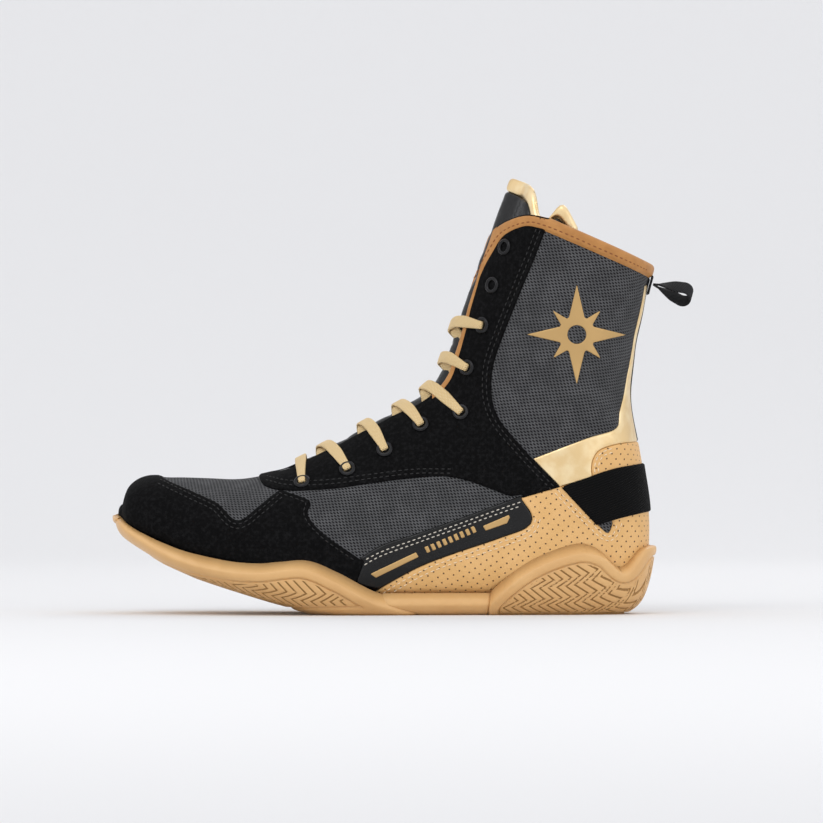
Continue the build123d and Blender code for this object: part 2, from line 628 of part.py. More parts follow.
# ---------------------------------------------------------------- the lace
eyelet_spots = []
for x, z in EYELETS:
    v = place_along(x, z, 0.0)
    eyelet_spots.append((v, abs(on_surface(x, z, -1, 0.0)[0].Y - station(v)[5])))


def at_eyelet(level, hand, out):
    """The point on an eyelet's axis, out from the surface."""
    plane = eyelet_planes["lateral" if hand < 0 else "medial"][level]
    return plane.origin + plane.z_dir * out


def strand(start, start_hand, end, lift):
    """The middle line of one strand, from inside one eyelet across to the outside of the next one opposite."""
    (v0, y0), (v1, y1) = eyelet_spots[start], eyelet_spots[end]
    points = [at_eyelet(start, start_hand, LACE_HOLE), at_eyelet(start, start_hand, LACE_UNDER)]
    for y, out in LACE_CROSSING + LACE_LANDING:
        share = (y0 - y) / (y0 + y1)
        rise = lift * max(1 - abs(y) / 6, 0)
        points.append(near_ridge(v0 + (v1 - v0) * share, start_hand * y, out + rise))
    return points + [at_eyelet(end, -start_hand, LACE_OVER), at_eyelet(end, -start_hand, LACE_HOLE)]


def bar():
    """The straight strand across the lowest pair, over both eyestays."""
    level = len(EYELETS) - 1
    v = eyelet_spots[level][0]
    over = [near_ridge(v, y, 2.7 - abs(y) * 0.02) for y in (-11.0, 0.0, 11.0)]
    return ([at_eyelet(level, -1, LACE_HOLE), at_eyelet(level, -1, LACE_OVER)] + over
            + [at_eyelet(level, 1, LACE_OVER), at_eyelet(level, 1, LACE_HOLE)])


def tail(hand):
    """The tucked end, from inside the highest laced eyelet down between tongue and quarter."""
    start = [at_eyelet(SPARE_EYELETS, hand, LACE_HOLE), at_eyelet(SPARE_EYELETS, hand, LACE_UNDER + 0.4)]
    return start + [on_surface(x, z, hand, TAIL_OUT)[0] for x, z in TAIL]


def cord(points, bend):
    """A round cord along the points, each corner rounded as far as its runs allow."""
    radii = []
    for before, here, after in zip(points, points[1:], points[2:]):
        turn = radians((here - before).get_angle(after - here))
        shorter = min((here - before).length, (after - here).length)
        radii.append(min(bend, 0.45 * shorter / tan(turn / 2)))
    with BuildPart() as tube:
        with BuildLine():
            route = FilletPolyline(*points, radius=radii)
        with BuildSketch(Plane(route @ 0, z_dir=route % 0)):
            Circle(LACE)
        sweep()
    return tube.part, route.length


strands = [bar()]
for level in range(len(EYELETS) - 1, SPARE_EYELETS, -1):
    strands.append(strand(level, -1, level - 1, 0.0))
    strands.append(strand(level, 1, level - 1, CROSSING_LIFT))
lace_length = 0.0
with BuildPart() as lace:
    for points in strands + [tail(-1), tail(1)]:
        cord_solid, length = cord(points, LACE_BEND if len(points) > 6 else 6.0)
        add(cord_solid)
        lace_length += length
export("lace", lace.part)
print("lace length", round(lace_length))
for name, hand in SIDES.items():
    end = tail(hand)
    with BuildPart() as aglet:
        with BuildSketch(Plane(end[-1], z_dir=end[-1] - end[-2])):
            Circle(AGLET[0])
        extrude(amount=AGLET[1])
    export(f"aglet_{name}", aglet.part)

# ---------------------------------------------------------------- the pull loop
with BuildPart() as loop_tab:
    add(form(LOOP_TAB[1]))
    add(form(LOOP_TAB[0]), mode=Mode.SUBTRACT)
    with Locations((150, 0, LOOP_ROOT[1])):
        Box(40, LOOP_WEBBING[1] + 3, 10, mode=Mode.INTERSECT)
export("loop_tab", loop_tab.part)
with BuildPart() as pull_loop:
    with BuildSketch(Plane.XZ.offset(-LOOP_WEBBING[1] / 2)):
        with Locations(LOOP_ROOT):
            Circle(LOOP_ROOT_RADIUS)
        with Locations(LOOP_END):
            Circle(LOOP_RADIUS)
        make_hull()
    extrude(amount=LOOP_WEBBING[1])
    with BuildSketch(Plane.XZ.offset(-LOOP_WEBBING[1])):
        with Locations((LOOP_ROOT[0] + 3.4, LOOP_ROOT[1] - 1.1)):
            Circle(0.3)
        with Locations(LOOP_END):
            Circle(LOOP_RADIUS - LOOP_WEBBING[0])
        make_hull()
    extrude(amount=2 * LOOP_WEBBING[1], mode=Mode.SUBTRACT)
export("pull_loop", pull_loop.part)
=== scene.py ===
"""The finished look of the left boxing boot: panels, sole, lace, tongue and stitching over the CAD frame.

Lengths here are millimetres in the frame's axes, turned into metres where a mesh is made.
"""
import json
from math import ceil, cos, pi, radians, sin

import bpy
import numpy as np
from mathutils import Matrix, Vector

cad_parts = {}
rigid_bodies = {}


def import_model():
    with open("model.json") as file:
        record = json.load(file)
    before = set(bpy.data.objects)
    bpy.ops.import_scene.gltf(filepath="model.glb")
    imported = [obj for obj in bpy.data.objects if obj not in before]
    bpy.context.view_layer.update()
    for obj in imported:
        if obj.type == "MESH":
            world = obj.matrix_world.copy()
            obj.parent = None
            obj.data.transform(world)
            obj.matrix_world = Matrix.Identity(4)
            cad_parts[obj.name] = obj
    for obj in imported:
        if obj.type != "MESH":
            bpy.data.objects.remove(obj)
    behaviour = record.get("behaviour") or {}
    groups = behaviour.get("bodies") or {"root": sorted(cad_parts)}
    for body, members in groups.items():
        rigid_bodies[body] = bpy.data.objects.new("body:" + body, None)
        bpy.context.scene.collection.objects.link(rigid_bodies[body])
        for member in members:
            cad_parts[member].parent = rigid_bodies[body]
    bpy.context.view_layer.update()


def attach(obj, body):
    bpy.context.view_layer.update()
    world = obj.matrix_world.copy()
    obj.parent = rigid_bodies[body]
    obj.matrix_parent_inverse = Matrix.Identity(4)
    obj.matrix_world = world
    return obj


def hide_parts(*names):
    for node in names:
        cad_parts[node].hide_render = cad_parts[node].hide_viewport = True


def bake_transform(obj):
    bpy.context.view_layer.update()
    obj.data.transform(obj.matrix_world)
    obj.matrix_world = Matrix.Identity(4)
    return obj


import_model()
MM = 0.001


# ---------------------------------------------------------------- shared steps
def new_object(name, data):
    """An object that is in the scene."""
    made = bpy.data.objects.new(name, data)
    bpy.context.scene.collection.objects.link(made)
    return made


def unit(vectors):
    """The vectors, one to a row, at length 1."""
    return vectors / np.maximum(np.linalg.norm(vectors, axis=1, keepdims=True), 1e-9)


def lengths_along(points):
    """The length of a path up to each of its points."""
    return np.concatenate([[0], np.cumsum(np.linalg.norm(np.diff(points, axis=0), axis=1))])


def through(a, b, c, d, t):
    """Points at shares t of a smooth curve's stretch from b to c, which comes from a and goes on to d."""
    return b + t / 2 * (c - a + t * (2 * a - 5 * b + 4 * c - d + t * (3 * (b - c) + d - a)))


# ---------------------------------------------------------------- the camera
VIEW_WIDTH = 444.4  # what the picture is wide at the boot
VIEW_CENTRE = (12.7, -20.0, 109.6)
CAMERA_AWAY = 4000.0
SENSOR = 36.0
CLIP_END = 50  # metres

camera = new_object("camera", bpy.data.cameras.new("camera"))
bpy.context.scene.camera = camera
camera.data.sensor_width = SENSOR
camera.data.lens = SENSOR * CAMERA_AWAY / VIEW_WIDTH
camera.data.clip_end = CLIP_END
camera.location = Vector((VIEW_CENTRE[0], VIEW_CENTRE[1] - CAMERA_AWAY, VIEW_CENTRE[2])) * MM
camera.rotation_euler = (pi / 2, 0, 0)

# ---------------------------------------------------------------- the form, as in the CAD model
# sole x, z, ridge x, z, half width, centre y, level of the widest place, fullness below it, fullness above it
STATIONS = np.array([
    (-143.6, 51.0, -143.4, 58.5, 15.0, 9.0, 0.45, 2.2, 2.2),
    (-140.5, 45.0, -140.0, 68.5, 27.0, 8.5, 0.42, 2.6, 2.3),
    (-132.0, 40.5, -130.5, 74.0, 35.0, 8.0, 0.40, 3.2, 2.4),
    (-118.0, 35.0, -116.0, 74.0, 41.5, 7.0, 0.38, 3.6, 2.4),
    (-100.0, 28.5, -98.0, 73.0, 46.0, 5.5, 0.36, 4.0, 2.3),
    (-80.0, 22.0, -77.0, 73.5, 48.5, 3.5, 0.34, 4.0, 2.2),
    (-58.0, 15.5, -57.0, 78.0, 48.0, 1.0, 0.32, 4.0, 2.1),
    (-36.0, 10.5, -38.0, 87.0, 45.0, -1.0, 0.30, 4.0, 2.0),
    (-12.0, 8.5, -18.0, 98.0, 41.0, -2.5, 0.28, 4.0, 2.0),
    (15.0, 8.5, 0.0, 108.0, 38.5, -3.0, 0.27, 4.0, 2.0),
    (45.0, 8.5, 14.0, 116.0, 37.5, -2.5, 0.27, 3.8, 2.0),
    (80.0, 8.5, 24.0, 124.0, 37.0, -1.5, 0.30, 3.5, 2.05),
    (112.0, 8.5, 30.0, 134.0, 36.5, -0.5, 0.36, 3.0, 2.1),
    (134.0, 15.0, 34.0, 146.0, 36.0, 0.0, 0.42, 2.5, 2.2),
    (141.0, 43.0, 38.0, 158.0, 36.5, 0.0, 0.46, 2.3, 2.25),
    (137.0, 80.0, 42.5, 171.0, 37.5, 0.0, 0.48, 2.25, 2.3),
    (131.5, 112.0, 47.5, 185.0, 38.5, 0.0, 0.50, 2.2, 2.3),
    (133.0, 142.0, 53.0, 200.0, 40.5, 0.0, 0.50, 2.25, 2.3),
    (139.0, 172.0, 59.0, 216.0, 42.5, 0.0, 0.50, 2.3, 2.3),
    (146.0, 202.0, 65.0, 232.0, 43.5, 0.0, 0.50, 2.3, 2.3),
    (153.0, 232.0, 71.0, 248.0, 44.0, 0.0, 0.50, 2.3, 2.3),
])
LAST = len(STATIONS) - 1
SOLE_SHARE = np.ones(LAST + 1)
SOLE_SHARE[:4] = (0.3, 0.45, 0.6, 0.88)
NOSE_PUSH = 2.0  # the toe's tip is rounded by this much
SIDES = {"lateral": -1, "medial": 1}


def slices(v):
    """The slices at places v along the fan; below 0 they shrink into the toe's rounded tip."""
    at = np.clip(v, 0, LAST)
    i = np.clip(at.astype(int), 0, LAST - 1)
    t = (at - i)[:, None]
    rows = np.vstack([2 * STATIONS[:1] - STATIONS[1:2], STATIONS, 2 * STATIONS[-1:] - STATIONS[-2:-1]])
    out = through(rows[i], rows[i + 1], rows[i + 2], rows[i + 3], t)
    angle = np.clip(-v, 0, 1) * pi / 2 * 0.98
    shrink, push = np.cos(angle), NOSE_PUSH * np.sin(angle)
    middle = (out[:, 0:2] + out[:, 2:4]) / 2
    out[:, 0:2] = middle + (out[:, 0:2] - middle) * shrink[:, None]
    out[:, 2:4] = middle + (out[:, 2:4] - middle) * shrink[:, None]
    out[:, 4] *= shrink
    out[:, [0, 2]] -= push[:, None]
    return out


FAN_STEP = 0.01
FAN = slices(np.arange(-1, LAST + FAN_STEP / 2, FAN_STEP))


def station(v):
    """The slices at places v, read from a fine table."""
    at = np.clip((np.asarray(v, float) + 1) / FAN_STEP, 0, len(FAN) - 1.001)
    i = at.astype(int)
    return FAN[i] + (FAN[i + 1] - FAN[i]) * (at - i)[:, None]


def normal_table(first, turn):
    """Normals in the XZ plane: the sole line's (first 0, turn 1) or the ridge line's (first 2, turn -1)."""
    v = np.arange(0, LAST + FAN_STEP / 2, FAN_STEP)
    step = station(np.minimum(v + 0.05, LAST)) - station(np.maximum(v - 0.05, 0))
    dx, dz = step[:, first], step[:, first + 1]
    size = np.hypot(dx, dz)
    return np.stack([turn * dz / size, -turn * dx / size], 1)


NORMALS = {0: normal_table(0, 1), 2: normal_table(2, -1)}


def line_normals(v, first):
    """The sole line's (0) or the ridge line's (2) normals at places v."""
    at = np.clip(np.asarray(v, float) / FAN_STEP, 0, LAST / FAN_STEP)
    return NORMALS[first][np.rint(at).astype(int)]


TABLE_STEP = 0.05
TABLE_T = 161


def ring_table():
    """Widths and levels round each slice at even steps of length, from the ridge (0) to the sole line (1)."""
    places = np.arange(0, LAST + TABLE_STEP / 2, TABLE_STEP)
    rows = station(places)
    length = np.hypot(rows[:, 2] - rows[:, 0], rows[:, 3] - rows[:, 1])
    polar = np.linspace(0, pi, 801)
    table = np.zeros((len(places), TABLE_T, 3))
    for k, (row, chord) in enumerate(zip(rows, length)):
        power = np.where(polar < pi / 2, row[8], row[7])
        r = (np.abs(np.sin(polar)) ** power + np.abs(np.cos(polar)) ** power) ** (-1 / power)
        wide, up = r * np.sin(polar), r * np.cos(polar)
        level = np.where(up > 0, row[6] + (1 - row[6]) * up, row[6] + row[6] * up)
        run = np.concatenate([[0], np.cumsum(np.hypot(np.diff(wide) * row[4], np.diff(level) * chord))])
        even = np.linspace(0, run[-1], TABLE_T)
        table[k, :, 0] = np.interp(even, run, wide)
        table[k, :, 1] = np.interp(even, run, level)
        table[k, :, 2] = run[-1]
    return table


RINGS = ring_table()


def look_up(table, v, s):
    """Values of a table on the (v, s) grid, interpolated."""
    i = np.clip(v, 0, LAST) / TABLE_STEP
    j = np.clip(s, 0, 1) * (table.shape[1] - 1)
    i0 = np.clip(i.astype(int), 0, table.shape[0] - 2)
    j0 = np.clip(j.astype(int), 0, table.shape[1] - 2)
    fi, fj = (i - i0)[:, None], (j - j0)[:, None]
    return ((table[i0, j0] * (1 - fj) + table[i0, j0 + 1] * fj) * (1 - fi)
            + (table[i0 + 1, j0] * (1 - fj) + table[i0 + 1, j0 + 1] * fj) * fi)


def fold(t):
    """Turns any t into how far round from the ridge it is, 0 to 1, and which hand it is on."""
    t = (np.asarray(t, float) + 1) % 2 - 1
    return np.abs(t), np.where(t < 0, -1.0, 1.0)


def swollen(v, t, side, bottom, top):
    """Points of the form grown as the CAD model grows it: side, bottom and top are distances out."""
    row = station(v)
    s, hand = fold(t)
    sole_n, ridge_n = line_normals(v, 0), line_normals(v, 2)
    share = np.interp(np.clip(v, 0, LAST), np.arange(LAST + 1), SOLE_SHARE) if bottom > side else 1.0
    drop = side * sole_n[:, 0] ** 2 + bottom * (1 - sole_n[:, 0] ** 2) * share
    low = row[:, 0:2] + sole_n * drop[:, None]
    high = row[:, 2:4] + ridge_n * top
    ring = look_up(RINGS, v, s)
    flat = low + (high - low) * ring[:, 1:2]
    return np.stack([flat[:, 0], row[:, 5] + hand * (row[:, 4] + side) * ring[:, 0], flat[:, 1]], 1)


def surface(v, t, out=0.0, side=0.0, bottom=None, top=None):
    """Points at a true distance out from a swollen form, and their normals."""
    bottom = side if bottom is None else bottom
    top = side if top is None else top
    here = swollen(v, t, side, bottom, top)
    dv = swollen(np.minimum(v + 0.03, LAST), t, side, bottom, top) - swollen(v - 0.03, t, side, bottom, top)
    dt = swollen(v, t + 0.008, side, bottom, top) - swollen(v, t - 0.008, side, bottom, top)
    normal = unit(np.cross(dv, dt))
    return here + normal * np.reshape(out, (-1, 1)), normal


def place_along(x, z, out):
    """The places v whose slices, grown by out, pass through the side-view points (x, z)."""
    low, high = np.zeros(len(x)), np.full(len(x), float(LAST))
    for _ in range(36):
        v = (low + high) / 2
        row = station(v)
        b = row[:, 0:2] + line_normals(v, 0) * out
        t = row[:, 2:4] + line_normals(v, 2) * out
        past = (t[:, 0] - b[:, 0]) * (z - b[:, 1]) >= (t[:, 1] - b[:, 1]) * (x - b[:, 0])
        low, high = np.where(past, low, v), np.where(past, v, high)
    return v, b, t


def side_points(x, z, hand, out):
    """Points beside (x, z) on one side of the boot, out from the surface, and their normals."""
    def spots(x, z):
        v, b, t = place_along(x, z, 0.0)
        row = station(v)
        chord = t - b
        h = ((x - b[:, 0]) * chord[:, 0] + (z - b[:, 1]) * chord[:, 1]) / (chord**2).sum(1)
        wide = row[:, 6]
        level = np.clip(np.where(h > wide, (h - wide) / (1 - wide), (wide - h) / wide), 0, 1)
        power = np.where(h > wide, row[:, 8], row[:, 7])
        return np.stack([x, row[:, 5] + hand * row[:, 4] * (1 - level**power) ** (1 / power), z], 1)

    x, z = np.asarray(x, float), np.asarray(z, float)
    here = spots(x, z)
    along = spots(x + 0.4, z) - spots(x - 0.4, z)
    up = spots(x, z + 0.4) - spots(x, z - 0.4)
    normal = unit(np.cross(up, along))
    normal *= np.where(normal[:, 1:2] * hand < 0, -1.0, 1.0)
    return here + normal * np.reshape(out, (-1, 1)), normal


def near_ridge(v, y, out):
    """Points above the widest level, at places v along the fan and y from the middle, and their normals."""
    v, y = np.atleast_1d(np.asarray(v, float)), np.atleast_1d(np.asarray(y, float))

    def base(v, y):
        r = station(v)
        h = r[:, 6] + (1 - r[:, 6]) * (1 - np.abs(y / r[:, 4]) ** r[:, 8]) ** (1 / r[:, 8])
        flat = r[:, 0:2] + (r[:, 2:4] - r[:, 0:2]) * h[:, None]
        return np.stack([flat[:, 0], r[:, 5] + y, flat[:, 1]], 1)

    here = base(v, y)
    normal = unit(np.cross(base(v + 0.05, y) - here, base(v, y + 0.2) - here))
    ridge_n = line_normals(v, 2)
    facing = normal[:, 0] * ridge_n[:, 0] + normal[:, 2] * ridge_n[:, 1]
    normal *= np.where(facing < 0, -1.0, 1.0)[:, None]
    return here + normal * np.reshape(out, (-1, 1)), normal


# ---------------------------------------------------------------- cloth coordinates
SPRING_ROUNDS, SPRING_SHARE = 500, 0.2


def unroll():
    """Millimetre coordinates on the flattened side of the boot over (v, t), for the weave and grain.

    Slices start straight and evenly spaced by length, and then a net of springs takes out the stretch.
    """
    count_s = 41
    places = np.arange(0, LAST + TABLE_STEP / 2, TABLE_STEP)
    shares = np.linspace(0, 1, count_s)
    coarse = places[::5]
    v, s = np.meshgrid(coarse, shares, indexing="ij")
    solid = swollen(v.ravel(), s.ravel(), 0.0, 0.0, 0.0).reshape(*v.shape, 3)
    row = station(coarse)
    chord = unit(row[:, 2:4] - row[:, 0:2])
    steps = np.linalg.norm(np.diff(solid, axis=1), axis=2)
    run = np.concatenate([np.zeros((len(coarse), 1)), np.cumsum(steps, 1)], 1)
    middle = count_s // 2
    along = (run - run[:, middle:middle + 1])[:, :, None]
    flat = solid[:, middle, [0, 2]][:, None, :] - chord[:, None, :] * along
    pairs = [((slice(None, -1), slice(None)), (slice(1, None), slice(None))),
             ((slice(None), slice(None, -1)), (slice(None), slice(1, None))),
             ((slice(None, -1), slice(None, -1)), (slice(1, None), slice(1, None))),
             ((slice(None, -1), slice(1, None)), (slice(1, None), slice(None, -1)))]
    for _ in range(SPRING_ROUNDS):
        for a, b in pairs:
            want = np.linalg.norm(solid[a] - solid[b], axis=2)
            gap = flat[a] - flat[b]
            have = np.maximum(np.linalg.norm(gap, axis=2), 1e-6)
            push = gap * ((want - have) / have * SPRING_SHARE)[:, :, None]
            flat[a] += push
            flat[b] -= push
    fine = np.zeros((len(places), count_s, 2))
    for j in range(count_s):
        for k in range(2):
            fine[:, j, k] = np.interp(places, coarse, flat[:, j, k])
    return fine


CLOTH = unroll()


def cloth_uv(v, t):
    """Flattened millimetre coordinates for points (v, t)."""
    return look_up(CLOTH, v, fold(t)[0])


# ---------------------------------------------------------------- outlines in side view
def curve(points, step=2.4):
    """A smooth run through the points; two points make a straight one."""
    points = np.array(points, float)
    if len(points) == 2:
        return points
    ends = np.vstack([2 * points[0] - points[1], points, 2 * points[-1] - points[-2]])
    made = []
    for a, b, c, d in zip(ends, ends[1:], ends[2:], ends[3:]):
        count = max(2, ceil(np.linalg.norm(c - b) / step))
        made.append(through(a, b, c, d, np.arange(count)[:, None] / count))
    return np.vstack(made + [points[-1:]])


def outline(*runs):
    """A closed outline from runs of points, joined by straight lines."""
    return np.vstack([curve(run) for run in runs])


FAR_FROM_OUTLINE = 8.0


def depth_in(points, shape):
    """How far each 2-D point lies inside a closed outline; negative outside."""
    a, b = shape, np.roll(shape, -1, 0)
    keep = np.linalg.norm(b - a, axis=1) > 1e-9
    a, b = a[keep], b[keep]
    beyond = np.maximum(np.maximum(shape.min(0) - points, points - shape.max(0)).max(1), 0)
    result = -beyond
    close = np.where(beyond < FAR_FROM_OUTLINE)[0]
    for start in range(0, len(close), 2000):
        chosen = close[start:start + 2000]
        p = points[chosen, None, :]
        edge = (b - a)[None]
        share = np.clip(((p - a) * edge).sum(2) / (edge**2).sum(2), 0, 1)
        gap = np.sqrt((((a + share[:, :, None] * edge) - p) ** 2).sum(2)).min(1)
        above = (a[:, 1] > p[:, :, 1]) != (b[:, 1] > p[:, :, 1])
        rise = np.where(b[:, 1] == a[:, 1], 1e9, b[:, 1] - a[:, 1])
        cross = a[:, 0] + (p[:, :, 1] - a[:, 1]) / rise * edge[:, :, 0]
        inside = (above & (p[:, :, 0] < cross)).sum(1) % 2 == 1
        result[chosen] = np.where(inside, gap, -gap)
    return result


def within(shape, grow=0.0):
    """A field: depth inside a side-view outline, grown by grow."""
    return lambda sheet: sheet.depth(shape) + grow


def outside(shape, grow=0.0):
    """A field: distance outside a side-view outline that is grown by grow."""
    return lambda sheet: -sheet.depth(shape) - grow


COLLAR_FRONT = [(44.0, 183.0), (50.5, 196.0), (59.0, 209.0), (73.5, 215.5), (87.0, 213.5)]
QUARTER_FRONT = [(-58.0, 67.5), (-42.0, 61.5), (-43.0, 54.0), (-34.0, 43.5), (-13.0, 29.0)]
VAMP_EDGE = [(-140.0, 90.0), (-122.5, 74.0), (-104.5, 66.0), (-91.5, 60.0), (-81.0, 51.0), (-70.0, 58.0),
             (-58.0, 67.5)]
EYESTAY_LOW = [(-72.0, 80.0), (-66.5, 69.5), (-52.0, 67.0), (-26.0, 68.5), (11.0, 73.5), (36.0, 74.0),
               (66.0, 64.0)]
EYESTAY_REAR = [(90.0, 221.0), (78.5, 191.0), (64.5, 156.5), (56.5, 132.0), (58.0, 109.5), (73.5, 89.0),
                (92.5, 69.0)]
TAN_TOP = [(-18.0, 6.0), (17.0, 26.0), (59.0, 41.0), (74.5, 47.0), (77.5, 53.5), (71.5, 63.0)]
STRIPE_TOP = [(-31.0, 18.0), (-7.0, 36.0), (17.0, 44.5), (41.0, 53.0), (73.5, 65.0)]
STRAP_FRONT = [(92.5, 69.0), (103.0, 58.0), (112.0, 49.5)]
NOTCH = [(112.0, 49.5), (118.5, 44.0), (121.5, 51.0)]
BAND_TOP = [(75.0, 83.0), (106.5, 95.0), (122.5, 100.5), (125.0, 110.0), (129.0, 126.0), (133.0, 150.0),
            (139.0, 178.0)]
FORE_RAND = [(-150.0, 55.0), (-139.0, 44.5), (-115.5, 31.5), (-90.0, 25.0), (-70.0, 23.5), (-46.0, 25.5),
             (-28.0, 18.5), (-7.0, 7.0), (16.0, 0.0)]
HEEL_RAND = [(54.0, 0.0), (57.0, 8.5), (77.0, 24.5), (101.0, 33.5), (115.5, 31.5), (128.0, 22.5),
             (140.0, 35.5), (152.0, 37.0)]
WAIST_TOP = 6.0
TONGUE_TOP = [(58.0, 236.0), (68.5, 236.5), (77.5, 230.0), (81.0, 216.0), (85.5, 213.5), (94.0, 221.0),
              (102.5, 208.0)]
TONGUE_REAR = [(102.5, 208.0), (82.0, 180.0), (68.0, 146.0), (58.0, 118.0), (30.0, 92.0), (-15.0, 74.0),
               (-50.0, 64.0)]
EYELETS = [(63.5, 198.0), (57.0, 177.5), (51.5, 156.0), (43.5, 133.0), (39.5, 109.0), (18.0, 102.0),
           (-1.5, 88.5), (-21.5, 78.0), (-46.0, 71.0)]
SPARE_EYELETS = 2
THROAT_TOE = (-52.0, 11.0)
THROAT_Y = -1.5


# ---------------------------------------------------------------- sheets over the boot's own coordinates
class Sheet:
    """Triangles over (v, t) on one swollen form, that can be split along the zero line of any field."""

    def __init__(self, vt, faces, form, xyz=None, depths=None):
        self.vt, self.faces, self.form = vt, faces, form
        self.xyz = surface(vt[:, 0], vt[:, 1], **form)[0] if xyz is None else xyz
        self.depths = depths or {}

    def depth(self, shape):
        """Each vertex's depth in a side-view outline, worked out once."""
        if id(shape) not in self.depths:
            self.depths[id(shape)] = (shape, depth_in(self.xyz[:, [0, 2]], shape))
        return self.depths[id(shape)][1]

    def split(self, field, near=0.08):
        """Adds vertices and edges along the field's zero line."""
        f = field(self)
        f = np.where(np.abs(f) < near, 0.0, f)
        a, b = self.faces, np.roll(self.faces, -1, 1)
        crossing = f[a] * f[b] < 0
        low, high = np.minimum(a, b)[crossing], np.maximum(a, b)[crossing]
        if not len(low):
            return self
        keys, place = np.unique(low.astype(np.int64) * len(self.vt) + high, return_inverse=True)
        low, high = keys // len(self.vt), keys % len(self.vt)
        share = (f[low] / (f[low] - f[high]))[:, None]
        added = self.vt[low] * (1 - share) + self.vt[high] * share
        cut_at = np.full(crossing.shape, -1)
        cut_at[crossing] = place.ravel() + len(self.vt)
        made = [self.faces[~crossing.any(1)]]
        for turn in range(3):
            corners, cut = np.roll(self.faces, -turn, 1), np.roll(cut_at, -turn, 1)
            two = (cut[:, 0] >= 0) & (cut[:, 2] >= 0) & (cut[:, 1] < 0)
            p, q, c = cut[two, 0], cut[two, 2], corners[two]
            made += [np.stack([c[:, 0], p, q], 1), np.stack([p, c[:, 1], c[:, 2]], 1),
                     np.stack([p, c[:, 2], q], 1)]
            one = (cut[:, 1] >= 0) & (cut[:, 0] < 0) & (cut[:, 2] < 0)
            p, c = cut[one, 1], corners[one]
            made += [np.stack([c[:, 0], c[:, 1], p], 1), np.stack([c[:, 0], p, c[:, 2]], 1)]
        fresh = surface(added[:, 0], added[:, 1], **self.form)[0]
        depths = {key: (shape, np.concatenate([values, depth_in(fresh[:, [0, 2]], shape)]))
                  for key, (shape, values) in self.depths.items()}
        vt, xyz = np.vstack([self.vt, added]), np.vstack([self.xyz, fresh])
        return Sheet(vt, np.vstack(made), self.form, xyz, depths)

    def cuts(self, field, *levels):
        """Adds vertices and edges where the field passes each of the levels."""
        sheet = self
        for level in levels:
            sheet = sheet.split(lambda s: field(s) - level)
        return sheet

    def keep(self, chosen):
        """Only the chosen faces, and the vertices that they need."""
        faces = self.faces[chosen]
        used, place = np.unique(faces, return_inverse=True)
        depths = {key: (shape, values[used]) for key, (shape, values) in self.depths.items()}
        return Sheet(self.vt[used], place.reshape(faces.shape), self.form, self.xyz[used], depths)

    def trim(self, field, near=0.08):
        """Only what lies where the field is positive, cut cleanly."""
        rough = field(self)
        sheet = self.keep((rough[self.faces] > -6).any(1))
        sheet = sheet.split(field, near)
        f = field(sheet)[sheet.faces]
        return sheet.keep(np.where(np.abs(f) < 0.02, 0, f).sum(1) > 0)

    def border(self):
        """The boundary's edges, each as a pair of vertices in its face's direction."""
        edges = np.stack([self.faces, np.roll(self.faces, -1, 1)], 2).reshape(-1, 2)
        keys = np.sort(edges, 1)
        keys = keys[:, 0] * (len(self.vt) + 1) + keys[:, 1]
        _, first, count = np.unique(keys, return_index=True, return_counts=True)
        return edges[first[count == 1]]


def grid(v_from, v_to, t_from, t_to, size, **form):
    """A regular sheet over a range of v and t, with triangles of about the given size in millimetres."""
    knots = np.linspace(v_from, v_to, 400)
    lengths = []
    for t in (0.0, 0.5, 1.0):
        points = swollen(knots, np.full(400, t), 0.0, 0.0, 0.0)
        lengths.append(lengths_along(points))
    run = np.max([np.gradient(length) for length in lengths], 0)
    run = np.concatenate([[0], np.cumsum(run[1:])])
    places = np.interp(np.linspace(0, run[-1], ceil(run[-1] / size) + 1), run, knots)
    girth = look_up(RINGS, knots, np.zeros(400))[:, 2].max()
    turns = np.linspace(t_from, t_to, ceil((t_to - t_from) * girth / size) + 1)
    v, t = np.meshgrid(places, turns, indexing="ij")
    index = np.arange(v.size).reshape(v.shape)
    a, b, c, d = [part.ravel() for part in (index[:-1, :-1], index[1:, :-1], index[1:, 1:], index[:-1, 1:])]
    odd = ((np.indices((len(places) - 1, len(turns) - 1)).sum(0)) % 2).ravel().astype(bool)[:, None]
    first = np.where(odd, np.stack([a, c, b], 1), np.stack([a, d, b], 1))
    second = np.where(odd, np.stack([a, d, c], 1), np.stack([b, d, c], 1))
    return Sheet(np.stack([v.ravel(), t.ravel()], 1), np.vstack([first, second]), form)


def all_of(*fields):
    """The smallest of several fields: positive only where all are."""
    return lambda sheet: np.min([field(sheet) for field in fields], 0)


# ---------------------------------------------------------------- meshes
def make_object(name, points, faces, uv=None, material=None):
    """A smooth mesh object from points in millimetres; uv has a pair for each vertex."""
    mesh = bpy.data.meshes.new(name)
    mesh.from_pydata((points * MM).tolist(), [], faces if isinstance(faces, list) else faces.tolist())
    mesh.update()
    if uv is not None:
        layer = mesh.uv_layers.new(name="cloth")
        corners = np.zeros(len(mesh.loops), int)
        mesh.loops.foreach_get("vertex_index", corners)
        layer.data.foreach_set("uv", np.asarray(uv, float)[corners].ravel())
    mesh.polygons.foreach_set("use_smooth", [True] * len(mesh.polygons))
    if material:
        mesh.materials.append(material)
    return new_object(name, mesh)


